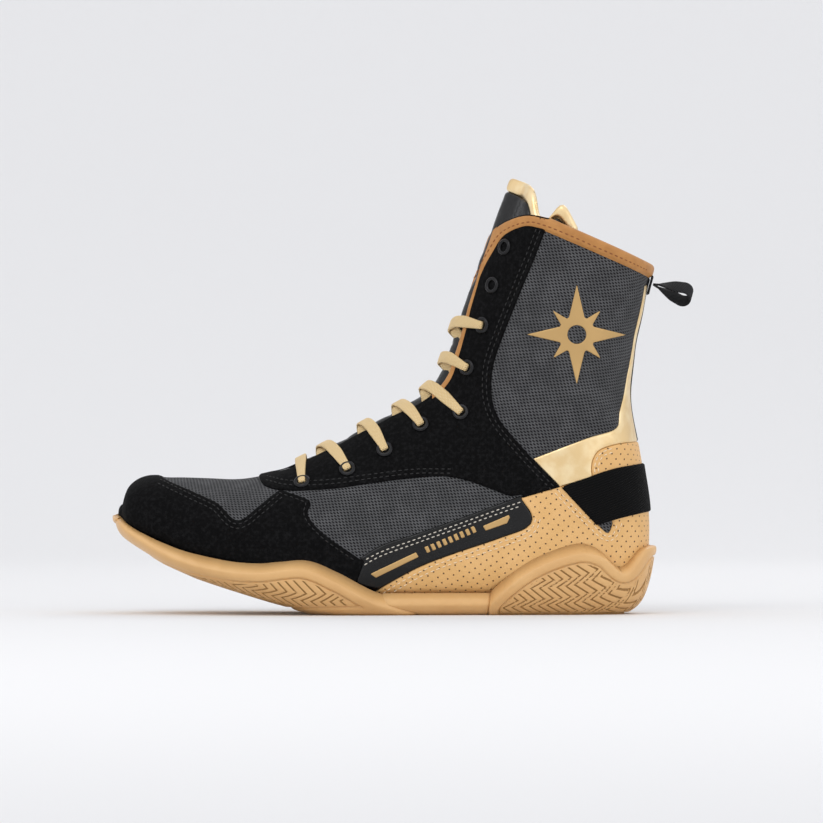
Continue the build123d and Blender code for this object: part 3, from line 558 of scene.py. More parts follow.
# ---------------------------------------------------------------- materials
class Paint:
    """One procedural material: a Principled shader with helpers for the patterns laid in millimetres."""

    def __init__(self, name, colour, rough, metallic=0.0, **sockets):
        self.name, self.material = name, bpy.data.materials.new(name)
        self.material.use_nodes = True
        self.material.diffuse_color = (*colour, 1)
        self.tree = self.material.node_tree
        self.shader = self.tree.nodes["Principled BSDF"]
        self.colour, self.height = (*colour, 1), None
        self.set(self.shader, {"Base Color": self.colour, "Roughness": rough, "Metallic": metallic})
        self.set(self.shader, sockets)

    def set(self, node, values):
        """Puts numbers in a node's sockets, or links other nodes' outputs to them."""
        for name, value in values.items():
            if isinstance(value, bpy.types.NodeSocket):
                self.tree.links.new(value, node.inputs[name])
            else:
                node.inputs[name].default_value = value
        return node

    def node(self, kind, values, **settings):
        """A new node with its settings and socket values."""
        made = self.tree.nodes.new(kind)
        for name, value in settings.items():
            setattr(made, name, value)
        return self.set(made, values)

    def math(self, operation, *values):
        """One step of arithmetic."""
        return self.node("ShaderNodeMath", dict(enumerate(values)), operation=operation).outputs[0]

    def cloth(self, turn=0.0):
        """The two flattened millimetre coordinates, turned by some degrees."""
        uv = self.node("ShaderNodeUVMap", {}, uv_map="cloth").outputs[0]
        parts = self.node("ShaderNodeSeparateXYZ", {0: uv})
        u, v = parts.outputs[0], parts.outputs[1]
        c, s = cos(radians(turn)), sin(radians(turn))
        return (self.math("ADD", self.math("MULTIPLY", u, c), self.math("MULTIPLY", v, -s)),
                self.math("ADD", self.math("MULTIPLY", u, s), self.math("MULTIPLY", v, c)))

    def solid(self):
        """Millimetre coordinates in the piece itself."""
        spot = self.node("ShaderNodeTexCoord", {}).outputs["Object"]
        return self.node("ShaderNodeVectorMath", {0: spot, "Scale": 1000.0}, operation="SCALE").outputs[0]

    def noise(self, size, detail=3.0, vector=None):
        """Cloudy noise from 0 to 1, of about the given size in millimetres."""
        return self.node("ShaderNodeTexNoise", {"Vector": vector or self.solid(), "Scale": 1 / size,
                                                "Detail": detail}).outputs["Fac"]

    def cells(self, size):
        """Distance to the nearest of scattered points: a leather-like grain."""
        made = self.node("ShaderNodeTexVoronoi", {"Vector": self.solid(), "Scale": 1 / size})
        return made.outputs["Distance"]

    def between(self, value, low, high):
        """0 below low, 1 above high and smooth between."""
        made = self.node("ShaderNodeMapRange", {0: value, 1: low, 2: high}, interpolation_type="SMOOTHSTEP")
        return made.outputs[0]

    def lattice(self, pitch_u, pitch_v, radius_u, radius_v, turn=0.0, soft=0.15):
        """Staggered oval holes: 1 in a hole, 0 between them."""
        math = self.math
        u, v = self.cloth(turn)
        row = math("DIVIDE", v, pitch_v)
        shift = math("MULTIPLY", math("FLOORED_MODULO", math("FLOOR", row), 2.0), 0.5)
        along = math("ADD", math("DIVIDE", u, pitch_u), shift)
        squares = []
        for place, share in ((along, pitch_u / radius_u), (row, pitch_v / radius_v)):
            gap = math("MULTIPLY", math("SUBTRACT", math("FRACT", place), 0.5), share)
            squares.append(math("MULTIPLY", gap, gap))
        return self.between(math("SQRT", math("ADD", *squares)), 1 + soft, 1 - soft)

    def ribs(self, pitch, turn=0.0):
        """Rounded ribs, from 0 to 1."""
        u, _ = self.cloth(turn)
        wave = self.math("SINE", self.math("MULTIPLY", u, 2 * pi / pitch))
        return self.math("MULTIPLY_ADD", wave, 0.5, 0.5)

    def tint(self, mask, colour):
        """Mixes another colour in where the mask is 1."""
        made = self.node("ShaderNodeMix", {0: mask, 6: self.colour, 7: (*colour, 1)}, data_type="RGBA")
        self.colour = made.outputs[2]
        self.set(self.shader, {"Base Color": self.colour})
        return self

    def tone_and_highlight_clouds(self, colour, size, low=0.35, high=0.7, detail=3.0):
        """Clouds of another colour, of about the given size in millimetres: the material's own uneven tone,
        and on the gold leather painted highlights.
        """
        return self.tint(self.between(self.noise(size, detail), low, high), colour)

    def pattern(self, mask, colour, depth):
        """Another colour and another height where the mask is 1; the colour is painted shade where the mark is
        sunk and painted highlight where it is raised.
        """
        return self.tint(mask, colour).relief(mask, depth)

    def relief(self, mask, depth):
        """Raises the surface by depth millimetres where the mask is 1."""
        values = {"Height": mask, "Distance": abs(depth) * MM}
        if self.height is not None:
            values["Normal"] = self.height
        made = self.node("ShaderNodeBump", values, invert=depth < 0)
        self.height = made.outputs[0]
        self.set(self.shader, {"Normal": self.height})
        return self


def grained(name, colour, rough, grain=0.9, depth=0.08, **sockets):
    """Leather or moulded plastic with a fine grain."""
    paint = Paint(name, colour, rough, **sockets)
    return paint.relief(paint.cells(grain), depth)


GREY, INK = (0.076, 0.077, 0.080), (0.003, 0.003, 0.0033)
TAN, GUM, GOLD = (0.72, 0.42, 0.15), (0.68, 0.395, 0.155), (0.82, 0.60, 0.31)
ORANGE = (0.42, 0.18, 0.04)

mesh_cloth = Paint("grey_mesh", GREY, 0.85, **{"Specular IOR Level": 0.2})
mesh_cloth.tone_and_highlight_clouds((0.104, 0.105, 0.109), 9.0)
# The mesh's holes are painted near black: partly the dark lining behind them, partly painted shade inside the
# holes.
mesh_cloth.pattern(mesh_cloth.lattice(2.7, 1.15, 0.80, 0.36, 38, 0.3), (0.006, 0.006, 0.007), -0.45)
mesh_cloth.relief(mesh_cloth.ribs(0.55, 38), 0.10)

suede = Paint("black_suede", (0.003, 0.003, 0.0032), 0.85, **{"Specular IOR Level": 0.07})
suede.tone_and_highlight_clouds((0.009, 0.009, 0.0095), 2.0, 0.4, 0.75, 5.0)
# The perforations are painted darker than the suede: painted shade inside the holes.
suede.pattern(suede.lattice(3.0, 1.5, 0.26, 0.26), (0.002, 0.002, 0.002), -0.25)
suede.relief(suede.noise(0.45, 2.0), 0.16)

gloss_black = Paint("gloss_black", INK, 0.2, **{"Specular IOR Level": 0.3})
gloss_black.relief(gloss_black.cells(1.3), 0.05).relief(gloss_black.noise(7.0), 0.35)

tan = Paint("tan_leather", TAN, 0.52)
tan.tone_and_highlight_clouds((0.77, 0.46, 0.18), 14.0, 0.3, 0.75)
# The perforations are painted dark brown: painted shade inside the holes.
tan.pattern(tan.lattice(5.35, 2.7, 0.42, 0.42, 8), (0.10, 0.045, 0.016), -0.5).relief(tan.cells(0.8), 0.05)

gold_leather = Paint("gold_leather", GOLD, 0.34, 0.9)
# The lighter clouds are painted highlights of the creased gold band, scattered at random.
gold_leather.tone_and_highlight_clouds((0.92, 0.74, 0.45), 9.0).relief(gold_leather.noise(1.4, 4.0), 0.10)

gold_film = Paint("gold_film", (0.56, 0.36, 0.15), 0.36, 0.8)
gold_film.relief(gold_film.noise(2.4, 4.0), 0.10)

orange = Paint("orange_binding", ORANGE, 0.55)
orange.tone_and_highlight_clouds((0.48, 0.215, 0.052), 6.0).relief(orange.cells(0.7), 0.06)

tongue_paint = Paint("tongue_black", INK, 0.24, **{"Specular IOR Level": 0.4})
tongue_paint.relief(tongue_paint.noise(5.0, 4.0), 0.6).relief(tongue_paint.cells(0.9), 0.05)

webbing = Paint("black_webbing", (0.008, 0.008, 0.009), 0.75, **{"Specular IOR Level": 0.15})
# The raised ribs are painted lighter: painted highlight on the rib tops.
webbing.pattern(webbing.ribs(1.1, 55), (0.022, 0.022, 0.024), 0.22)

elastic = Paint("black_elastic", (0.0022, 0.0022, 0.0022), 0.75, **{"Specular IOR Level": 0.07})
# The raised ribs are painted lighter: painted highlight on the rib tops.
elastic.pattern(elastic.ribs(1.25, 72), (0.006, 0.006, 0.0062), 0.18).relief(elastic.ribs(0.8, -18), 0.08)

lace_paint = Paint("lace_gold", (0.70, 0.49, 0.22), 0.5, 0.3)
lace_weave = lace_paint.math("MULTIPLY", lace_paint.ribs(0.95, 45), lace_paint.ribs(0.95, -45))
# The weave's raised crossings are painted pale gold: painted highlight on the weave.
lace_paint.pattern(lace_weave, (0.94, 0.78, 0.48), 0.3)

gum = Paint("gum_rubber", GUM, 0.42)
gum.tone_and_highlight_clouds((0.73, 0.44, 0.18), 18.0, 0.3).relief(gum.noise(0.7, 3.0), 0.03)
# The grooves' darker rubber is painted shade in the tread grooves.
gum_groove_shade = Paint("gum_groove_shade", (0.38, 0.20, 0.06), 0.7)

lining_paint = Paint("lining_fabric", (0.025, 0.025, 0.027), 0.9)
# The holes are painted darker than the fabric: painted shade inside the holes.
lining_paint.pattern(lining_paint.lattice(1.5, 0.9, 0.4, 0.25), (0.008, 0.008, 0.008), -0.25)

insole_paint = Paint("insole_foam", (0.03, 0.03, 0.033), 0.88)
# The holes are painted darker than the foam: painted shade inside the holes.
insole_paint.pattern(insole_paint.lattice(2.2, 1.2, 0.5, 0.3, 20), (0.01, 0.01, 0.01), -0.25)

metal = Paint("black_metal", (0.02, 0.02, 0.021), 0.25, 0.8)
metal.relief(metal.noise(1.5), 0.02)
thread = grained("white_thread", (0.62, 0.58, 0.50), 0.75, 0.3, 0.08)
tan_thread = grained("tan_thread", (0.86, 0.68, 0.45), 0.75, 0.3, 0.08)
orange_thread = grained("orange_thread", (0.24, 0.08, 0.02), 0.75, 0.3, 0.08)
black_thread = grained("black_thread", (0.010, 0.010, 0.010), 0.7, 0.3, 0.08)
aglet_film = grained("aglet_film", (0.5, 0.35, 0.16), 0.25, 0.8, 0.03)
midsole_foam = grained("midsole_foam", (0.62, 0.60, 0.55), 0.7)
shank_plastic = grained("shank_plastic", (0.02, 0.02, 0.02), 0.35)
board_fabric = grained("board_fabric", (0.45, 0.43, 0.38), 0.9)
stiffener_plastic = grained("stiffener_plastic", (0.05, 0.05, 0.05), 0.7)
padding_foam = grained("padding_foam", (0.32, 0.31, 0.28), 0.9, 1.2, 0.2)


# ---------------------------------------------------------------- from sheets to pieces
def lump(points):
    """The upper's own slight unevenness in millimetres, the same for all its layers."""
    x, y, z = points.T
    wave = np.sin(x / 9.3 + 0.7 * np.sin(z / 13.0)) * np.sin(z / 11.7 + y / 16.0 + 1.1)
    return 0.26 * wave + 0.16 * np.sin((x + z) / 5.1 + y / 9.0)


def rolled(level, inner, f, roll):
    """Distances out of the two faces of a piece whose edge is rounded over roll millimetres."""
    share = np.sqrt(np.clip(1 - (1 - np.clip(f / roll, 0, 1)) ** 2, 0, 1))
    middle = (level + inner) / 2
    return middle + (level - middle) * share, middle + (inner - middle) * share


def shell(name, sheet, outer, inner, material, back=None, uneven=True, pattern=None):
    """A closed piece between two distances out from the sheet's form, or for its back from another form."""
    v, t = sheet.vt[:, 0], sheet.vt[:, 1]
    wave = lump(surface(v, t)[0]) if uneven else 0.0
    top = surface(v, t, outer + wave, **sheet.form)[0]
    low = surface(v, t, inner + wave, **(back or sheet.form))[0]
    count = len(sheet.vt)
    edge = sheet.border()
    walls = np.vstack([np.stack([edge[:, 1], edge[:, 0], edge[:, 0] + count], 1),
                       np.stack([edge[:, 1], edge[:, 0] + count, edge[:, 1] + count], 1)])
    faces = np.vstack([sheet.faces, sheet.faces[:, ::-1] + count, walls])
    points = np.vstack([top, low])
    a, b, c = points[faces[:, 0]], points[faces[:, 1]], points[faces[:, 2]]
    if np.einsum("ij,ij->", a, np.cross(b, c)) < 0:
        faces = faces[:, ::-1]
    uv = cloth_uv(v, t)
    made = make_object(name, points, faces, np.vstack([uv, uv]), material=material)
    # A second material, when given, goes on the sheet's faces that the mask covers; it carries the gum sole's
    # painted shade in its grooves.
    if pattern is not None:
        made.data.materials.append(pattern[0])
        marks = np.zeros(len(faces), int)
        marks[:len(sheet.faces)] = pattern[1][sheet.faces].all(1)
        made.data.polygons.foreach_set("material_index", marks)
    return made


def panel(name, base, field, level, inner, material, roll=1.0, **more):
    """A piece cut from a base sheet where the field is positive, with rolled edges."""
    sheet = base.trim(field).cuts(field, roll * 0.3, roll)
    f = np.maximum(field(sheet), 0)
    outer = level - min(0.8, 0.75 * (level - inner)) * (1 - np.clip(f / roll, 0, 1)) ** 2
    return shell(name, sheet, outer, np.full(len(f), inner), material, **more)


def finish_piece(obj, body, slot, *nodes):
    """Every piece rides a body and stands for its CAD nodes, which are hidden; the slot is not used."""
    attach(obj, body)
    if nodes:
        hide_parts(*nodes)
    return obj


def upper_piece(name, base, field, level, inner, paint, nodes=None, **more):
    """A panel of the upper in its paint; its CAD nodes are those given or its name."""
    piece = panel(name, base, field, level, inner, paint.material, **more)
    return finish_piece(piece, "boot", paint.name, *(nodes or (name,)))


# ---------------------------------------------------------------- shared fields
ridge_knots = np.linspace(0, LAST, 400)
ridge_row = station(ridge_knots)
ridge_run = lengths_along(ridge_row[:, 2:4])
ridge_run -= np.interp(THROAT_TOE[0], ridge_row[:, 2], ridge_run)
THROAT_HALF = ([0, 95, 200], [11.0, 12.0, 14.0])  # the slot's half width by length up from its toe end
FAR_FROM_THROAT = 30.0


def throat(grow=0.0):
    """A field: distance outside the lacing slot."""
    def field(sheet):
        u = np.interp(np.clip(sheet.vt[:, 0], 0, LAST), ridge_knots, ridge_run)
        y = np.abs(sheet.xyz[:, 1] - THROAT_Y)
        gap = np.where(u < 0, np.hypot(u, y) - THROAT_HALF[1][0], y - np.interp(u, *THROAT_HALF)) - grow
        return np.where(fold(sheet.vt[:, 1])[0] > 0.5, FAR_FROM_THROAT, gap)
    return field


ABOVE = outline(COLLAR_FRONT, [(160, 182), (185, 171), (185, 290), (10, 290), (10, 183)])
below_collar = outside(ABOVE)


def not_sole(rise):
    """A field: millimetres up the slice from the sole line, less rise."""
    def field(sheet):
        v, t = sheet.vt.T
        return (1 - fold(t)[0]) * look_up(RINGS, v, 0 * v)[:, 2] - rise
    return field


def polygon(*corners):
    """A straight-edged outline."""
    return np.array(corners, float)


EYESTAY = outline(EYESTAY_LOW, [EYESTAY_LOW[-1], STRIPE_TOP[-1]], [STRIPE_TOP[-1], TAN_TOP[-1]],
                  [TAN_TOP[-1], STRAP_FRONT[0]], EYESTAY_REAR[::-1],
                  [EYESTAY_REAR[0], (-20, 260)], [(-20, 260), (-100, 110)])
TOE = outline(VAMP_EDGE, QUARTER_FRONT, [QUARTER_FRONT[-1], (-24, 0)], [(-24, 0), (-170, 0)],
              [(-170, 0), (-170, 90)])
STRIPE = outline(STRIPE_TOP, [STRIPE_TOP[-1], TAN_TOP[-1]], TAN_TOP[::-1], [TAN_TOP[0], (-31, 0)])
HEEL = outline(TAN_TOP, [TAN_TOP[-1], STRAP_FRONT[0]], [STRAP_FRONT[0], (150, 84)], [(150, 84), (160, -10)],
               [(160, -10), (-18, -10)])
NOTCH_CUT = outline(NOTCH, [NOTCH[-1], (112, 56)])
PATCH_EDGE = [(111, 70), (109.5, 80), (113, 88), (121.5, 91.5), (128, 92.6)]
PATCH = outline(PATCH_EDGE, [PATCH_EDGE[-1], (150, 94.5)], [(150, 94.5), (150, 70)])
BAND = outline(BAND_TOP, [BAND_TOP[-1], (150, 178)], [(150, 178), (150, 60)], [(150, 60), EYESTAY_REAR[-1]])
STRAP = outline([(93, 69), (103, 72.5), (124.5, 79.5), (165, 84.5)], [(165, 84.5), (165, 59)],
                [(165, 59), (132.5, 54), (112, 48.5)], [(112, 48.5), (93, 69)])
TONGUE = outline(TONGUE_TOP, TONGUE_REAR, [TONGUE_REAR[-1], (-72, 60)], [(-72, 60), (-72, 95)],
                 [(-72, 95), (20, 250)])
TONGUE_TRIM_LOW = outline([(x - 3, z - 7) for x, z in TONGUE_TOP], [(99.5, 201), (130, 0)],
                          [(130, 0), (-100, 0)], [(-100, 0), (-100, 150)])
TONGUE_FORM = {"side": -7.9, "bottom": -7.9, "top": -7.9}

UPPER = grid(-1, LAST, -1, 1, 1.6)
HALF = {name: grid(-1, LAST, *sorted((0, hand)), 1.5) for name, hand in SIDES.items()}
COARSE = grid(-0.9, LAST, -1, 1, 2.4)

# ---------------------------------------------------------------- the upper: mesh, lining and overlays
LEATHER, THIN_LEATHER, EYESTAY_LEVEL = 1.0, 0.9, 1.25  # how far out of the mesh the overlays stand
LAP, SOLE_GAP = 0.1, 0.6  # between neighbouring overlays, and above the sole line
SPINE_HALF = 6.5
EDGING, EDGING_FRONT = 3.4, 24.0  # the throat edging's width, and the x at which it starts
BINDING, BINDING_LEVEL = 7.4, 1.75  # how far down the collar its binding reaches, and how thick it stands
mesh_field = all_of(throat(0.4), outside(ABOVE, 0.6), not_sole(-1))
MESH_NODES = ("vamp_mesh", "shaft_mesh_lateral", "shaft_mesh_medial", "quarter_mesh_lateral",
              "quarter_mesh_medial")
upper_piece("upper_mesh", COARSE, mesh_field, 0.0, -0.9, mesh_cloth, MESH_NODES)
lining_field = all_of(throat(0.5), outside(ABOVE, 0.8), not_sole(-1))
upper_piece("lining", COARSE, lining_field, -2.2, -3.2, lining_paint,
            ("vamp_lining", "quarter_lining_lateral", "quarter_lining_medial"), roll=0.8, uneven=False)

toe_field = all_of(within(TOE), outside(EYESTAY, LAP), throat(4), below_collar, not_sole(SOLE_GAP))
upper_piece("toe_cap", UPPER, toe_field, LEATHER, 0.0, suede)
heel_field = all_of(within(HEEL), outside(NOTCH_CUT), outside(TOE, LAP), not_sole(SOLE_GAP))
upper_piece("heel_wrap", UPPER, heel_field, LEATHER, 0.0, tan)
patch_field = all_of(within(PATCH), outside(HEEL, 2 * LAP))
upper_piece("achilles_patch", UPPER, patch_field, THIN_LEATHER, 0.0, tan)


def spine(half):
    """A field: inside the strip up the middle of the back."""
    return lambda sheet: np.minimum(half - np.abs(sheet.xyz[:, 1]), sheet.xyz[:, 0] - 115)


spine_field = all_of(spine(SPINE_HALF), outside(PATCH, 2 * LAP), outside(HEEL, 2 * LAP),
                     outside(ABOVE, BINDING - LAP))
upper_piece("back_strip", UPPER, spine_field, LEATHER, 0.0, webbing)
upper_piece("heel_strap", UPPER, all_of(within(STRAP), not_sole(1)), 2.2, 1.05, elastic, roll=0.9)


def shape_of(parts, discs=()):
    """A field: inside any of the parts; each disc (middle, radius, whether it is a hole) is added or cut."""
    def field(sheet):
        spots = sheet.xyz[:, [0, 2]]
        depth = np.max([sheet.depth(part) for part in parts], 0)
        for middle, radius, hole in discs:
            gap = np.hypot(*(spots - middle).T) - radius
            depth = np.minimum(depth, gap) if hole else np.maximum(depth, -gap)
        return depth
    return field


EMBLEM_MIDDLE, EMBLEM_DISC, EMBLEM_HOLE = np.array((101.5, 151.0)), 10.0, 5.0
RAY_SIZES = ((27.0, 6.5), (18.5, 5.0))  # length and half width of the long and the short rays
BAR_COUNT, BAR_START, BAR_STEP = 9, (21.0, 33.5), (3.1, 1.32)
rays = []
for turn in range(8):
    length, half = RAY_SIZES[turn % 2]
    c, s = cos(turn * pi / 4), sin(turn * pi / 4)
    corners = np.array([(-0.5, -half), (length, 0), (-0.5, half)])
    rays.append(EMBLEM_MIDDLE + corners @ np.array([(c, s), (-s, c)]))
emblem_field = shape_of(rays, [(EMBLEM_MIDDLE, EMBLEM_DISC, False), (EMBLEM_MIDDLE, EMBLEM_HOLE, True)])
bars = [polygon((-9.5, 22.5), (15, 34), (16.5, 31.5), (-6.5, 20.5)),
        polygon((51, 48), (65, 54), (65.5, 52.5), (64, 49.5), (52.5, 45.5))]
for k in range(BAR_COUNT):
    x, z = BAR_START[0] + k * BAR_STEP[0], BAR_START[1] + k * BAR_STEP[1]
    bars.append(polygon((x, z), (x + 1.9, z + 0.8), (x + 0.4, z + 4.0), (x - 1.5, z + 3.2)))


def patch_of_side(hand, low, high, size):
    """A finer sheet over a rectangle of one side."""
    x, z = np.array([low, high, (low[0], high[1]), (high[0], low[1])], float).T
    v = place_along(x, z, 0.0)[0]
    box = np.array([low, (high[0], low[1]), high, (low[0], high[1])], float)
    sheet = grid(v.min() - 0.3, v.max() + 0.3, *sorted((hand * 0.3, hand)), size)
    return sheet.keep((within(box, 0.5)(sheet)[sheet.faces] > 0).all(1))


for name, hand in SIDES.items():
    half = HALF[name]
    eyestay_field = all_of(within(EYESTAY), throat(LAP), outside(ABOVE, LAP))
    upper_piece(f"eyestay_{name}", half, eyestay_field, EYESTAY_LEVEL, 0.0, suede, roll=1.2)
    stripe_field = all_of(within(STRIPE), outside(HEEL, LAP / 2), outside(TOE, LAP / 2), not_sole(SOLE_GAP))
    upper_piece(f"side_stripe_{name}", half, stripe_field, 0.95, 0.0, gloss_black)
    band_field = all_of(within(BAND), outside(HEEL, LAP / 2), outside(PATCH, LAP), outside(EYESTAY, LAP),
                        lambda s: -spine(SPINE_HALF + LAP)(s), outside(ABOVE, BINDING - 2 * LAP))
    upper_piece(f"ankle_band_{name}", half, band_field, 0.8, 0.0, gold_leather, roll=0.7)
    emblem_sheet = patch_of_side(hand, (70, 120), (132, 182), 1.0)
    upper_piece(f"emblem_{name}", emblem_sheet, emblem_field, 0.45, 0.05, gold_film, roll=0.3)
    bar_sheet = patch_of_side(hand, (-14, 17), (68, 57), 0.65)
    upper_piece(f"stripe_bars_{name}", bar_sheet, shape_of(bars), 1.3, 0.95, gold_film, roll=0.3)
    edging_field = all_of(throat(), lambda s: EDGING - throat()(s), outside(ABOVE, LAP),
                          lambda s: s.xyz[:, 0] - EDGING_FRONT)
    sheet = half.trim(edging_field).cuts(edging_field, 0.5, 1.5)
    outer, inner = rolled(BINDING_LEVEL, -1.4, np.maximum(edging_field(sheet), 0), 1.6)
    edging = shell(f"throat_edging_{name}", sheet, outer, inner, orange.material)
    finish_piece(edging, "boot", "orange_binding", f"throat_edging_{name}")

# The binding is folded over the collar's edge
binding_field = all_of(below_collar, throat(), lambda s: BINDING - below_collar(s))
sheet = UPPER.trim(binding_field).cuts(binding_field, 0.35, 1.0, 2.0)
outer, inner = rolled(BINDING_LEVEL, -3.9, np.maximum(binding_field(sheet), 0), 2.4)
inner = np.minimum(inner, np.interp(below_collar(sheet), [0, 2.4, BINDING], [-1.0, -3.9, -3.5]))
outer = np.where(below_collar(sheet) > 4, np.maximum(outer, 0.4), outer)
binding = shell("collar_binding", sheet, outer, inner, orange.material)
finish_piece(binding, "boot", "orange_binding", "collar_binding")

# ---------------------------------------------------------------- the sole: lip, groove and herringbone
RUBBER = {"side": 4.4, "bottom": 10.8, "top": 0.0}
WAIST_RUBBER = {"side": 2.8, "bottom": 10.8, "top": 0.0}
RUBBER_BACK = {"side": 1.0, "bottom": 4.3, "top": 0.0}
FORE = outline(FORE_RAND, [FORE_RAND[-1], (-170, -5)], [(-170, -5), (-170, 55)])
HEEL_BLOCK = outline(HEEL_RAND, [HEEL_RAND[-1], (170, -5)], [(170, -5), (54, -5)])
LIP, LIP_BULGE, LIP_GROOVE, LIP_GROOVE_DEPTH = 5.0, 0.7, 1.1, 1.2
TREAD_START = LIP + LIP_GROOVE + 0.4
TREAD_PERIOD, TREAD_SWING, TREAD_TURN = 10.8, 7.5, 0.4
TREAD_HALF, TREAD_DEPTH = 0.42, 0.9
SOLE_END = 15.2  # the place along the fan where the heel's rubber has ended


def wrapped(value, period):
    """The signed distance to the nearest whole multiple of the period."""
    return (value + period / 2) % period - period / 2


def tread(sheet, spacing):
    """Signed distance across the sole from the nearest zigzag line, and how far down each vertex is."""
    s, _ = fold(sheet.vt[:, 1])
    down = (1 - s) * look_up(RINGS, sheet.vt[:, 0], s)[:, 2]
    phase = (down % TREAD_PERIOD) / TREAD_PERIOD
    rising = phase < TREAD_TURN
    swing = np.where(rising, phase / TREAD_TURN, (1 - phase) / (1 - TREAD_TURN)) * TREAD_SWING
    lean = np.where(rising, 0.5, 0.66)
    return wrapped(sheet.xyz[:, 0] + 0.12 * sheet.xyz[:, 1] - swing, spacing) * lean, down


def rubber_piece(name, form, depth, spacing, *nodes):
    """A rubber block with its lip, groove and zigzag tread cut to real depth."""
    sheet = grid(-1, SOLE_END, 0.56, 1.44, 1.35, **form).trim(depth).cuts(depth, 0.9)

    def on_tread(field):
        """The field where there is tread, and nothing to split elsewhere."""
        return lambda s: np.where(depth(s) > TREAD_START - 0.3, field(s), 9.0)

    if spacing:
        sheet = sheet.cuts(depth, 0.4, LIP / 2, LIP - 0.5, LIP)
        sheet = sheet.cuts(depth, LIP + LIP_GROOVE / 2, LIP + LIP_GROOVE, TREAD_START)
        for turn in (0, TREAD_TURN * TREAD_PERIOD):
            sheet = sheet.split(on_tread(lambda s: wrapped(tread(s, spacing)[1] - turn, TREAD_PERIOD)))
        sheet = sheet.split(on_tread(lambda s: tread(s, spacing)[0]), 0.05)
        sheet = sheet.split(on_tread(lambda s: np.abs(tread(s, spacing)[0]) - TREAD_HALF), 0.05)
    f = np.maximum(depth(sheet), 0)
    outer = -0.7 * (1 - np.clip(f / 0.9, 0, 1)) ** 2
    cut = np.zeros(len(f), bool)
    if spacing:
        lip = np.clip(f / LIP, 0, 1)
        outer += LIP_BULGE * np.sqrt(np.clip(4 * lip * (1 - lip), 0, 1))
        outer -= LIP_GROOVE_DEPTH * np.clip(1 - np.abs(f - LIP - LIP_GROOVE / 2) / (LIP_GROOVE / 2), 0, 1)
        gap = np.abs(tread(sheet, spacing)[0])
        active = np.clip((f - TREAD_START) / 0.4, 0, 1)
        outer -= TREAD_DEPTH * active * np.clip(1 - gap / TREAD_HALF, 0, 1)
        # The groove faces take the darker groove rubber: painted shade in the tread grooves.
        cut = (f > TREAD_START - 0.02) & (gap < TREAD_HALF + 0.06)
    piece = shell(name, sheet, outer, np.zeros(len(f)), gum.material, back=RUBBER_BACK, uneven=False,
                  pattern=(gum_groove_shade.material, cut))
    spots = np.empty(len(piece.data.vertices) * 3)
    piece.data.vertices.foreach_get("co", spots)
    spots[2::3] = np.maximum(spots[2::3], 0.0)
    piece.data.vertices.foreach_set("co", spots)
    return finish_piece(piece, "boot", "gum_rubber", *nodes)


rubber_piece("forefoot_rubber", RUBBER, within(FORE), 5.2, "outsole_forefoot")
rubber_piece("heel_rubber", RUBBER, within(HEEL_BLOCK), 4.8, "outsole_heel")
waist_field = all_of(outside(FORE, 0.1), outside(HEEL_BLOCK, 0.1), lambda s: WAIST_TOP - s.xyz[:, 2],
                     lambda s: s.xyz[:, 0] + 60, lambda s: 100 - s.xyz[:, 0])
rubber_piece("waist_rubber", WAIST_RUBBER, waist_field, 0, "outsole_waist")

# ---------------------------------------------------------------- the tongue
TONGUE_CROWN, CROWN_HALF = 7.2, 11.0
TONGUE_BASE = grid(5.0, LAST, -0.62, 0.62, 1.5, **TONGUE_FORM)


def crown(sheet):
    """How far the tongue's middle swells out of the throat, with creases across it."""
    points = sheet.xyz
    y = points[:, 1] - THROAT_Y
    swell = TONGUE_CROWN * np.where(np.abs(y) < CROWN_HALF, np.cos(pi / 2 * y / CROWN_HALF) ** 2, 0)
    u = np.interp(sheet.vt[:, 0], ridge_knots, ridge_run)
    crease = np.abs(np.sin(u / 6.1 + 0.5 * np.sin(y / 4.0) + 0.9 * np.sin(u / 17.0))) ** 0.5
    ripple = 0.35 * np.sin(u / 3.3 + y / 5.0) * np.sin(y / 3.1 + u / 9.0)
    calm = np.clip((212 - points[:, 2]) / 18, 0.1, 1)
    return swell + (ripple - 0.9 * (1 - crease)) * calm - 0.3


def tongue_surface(name, field, level, inner, material, roll):
    """A piece of the tongue: outer face crowned and creased, edges rolled."""
    sheet = TONGUE_BASE.trim(field).cuts(field, roll * 0.15, roll * 0.5, roll)
    f = np.maximum(field(sheet), 0)
    outer, low = rolled(level, inner, f, roll)
    swell = crown(sheet)
    return shell(name, sheet, outer + swell, low + swell * 0.9, material, uneven=False)


tongue_field = all_of(within(TONGUE), lambda s: s.xyz[:, 0] + 67)
trim_field = all_of(tongue_field, outside(TONGUE_TRIM_LOW))
plain_field = all_of(tongue_field, within(TONGUE_TRIM_LOW))
tongue_main = tongue_surface("tongue", plain_field, 1.0, -2.6, tongue_paint.material, 2.2)
tongue_edge = tongue_surface("tongue_border", trim_field, 1.35, -2.9, gold_leather.material, 2.4)
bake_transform(tongue_main)
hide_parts("tongue_upper", "tongue_lower", "tongue_pad_upper", "tongue_pad_lower")
finish_piece(tongue_edge, "tongue", "gold_leather", "tongue_trim")


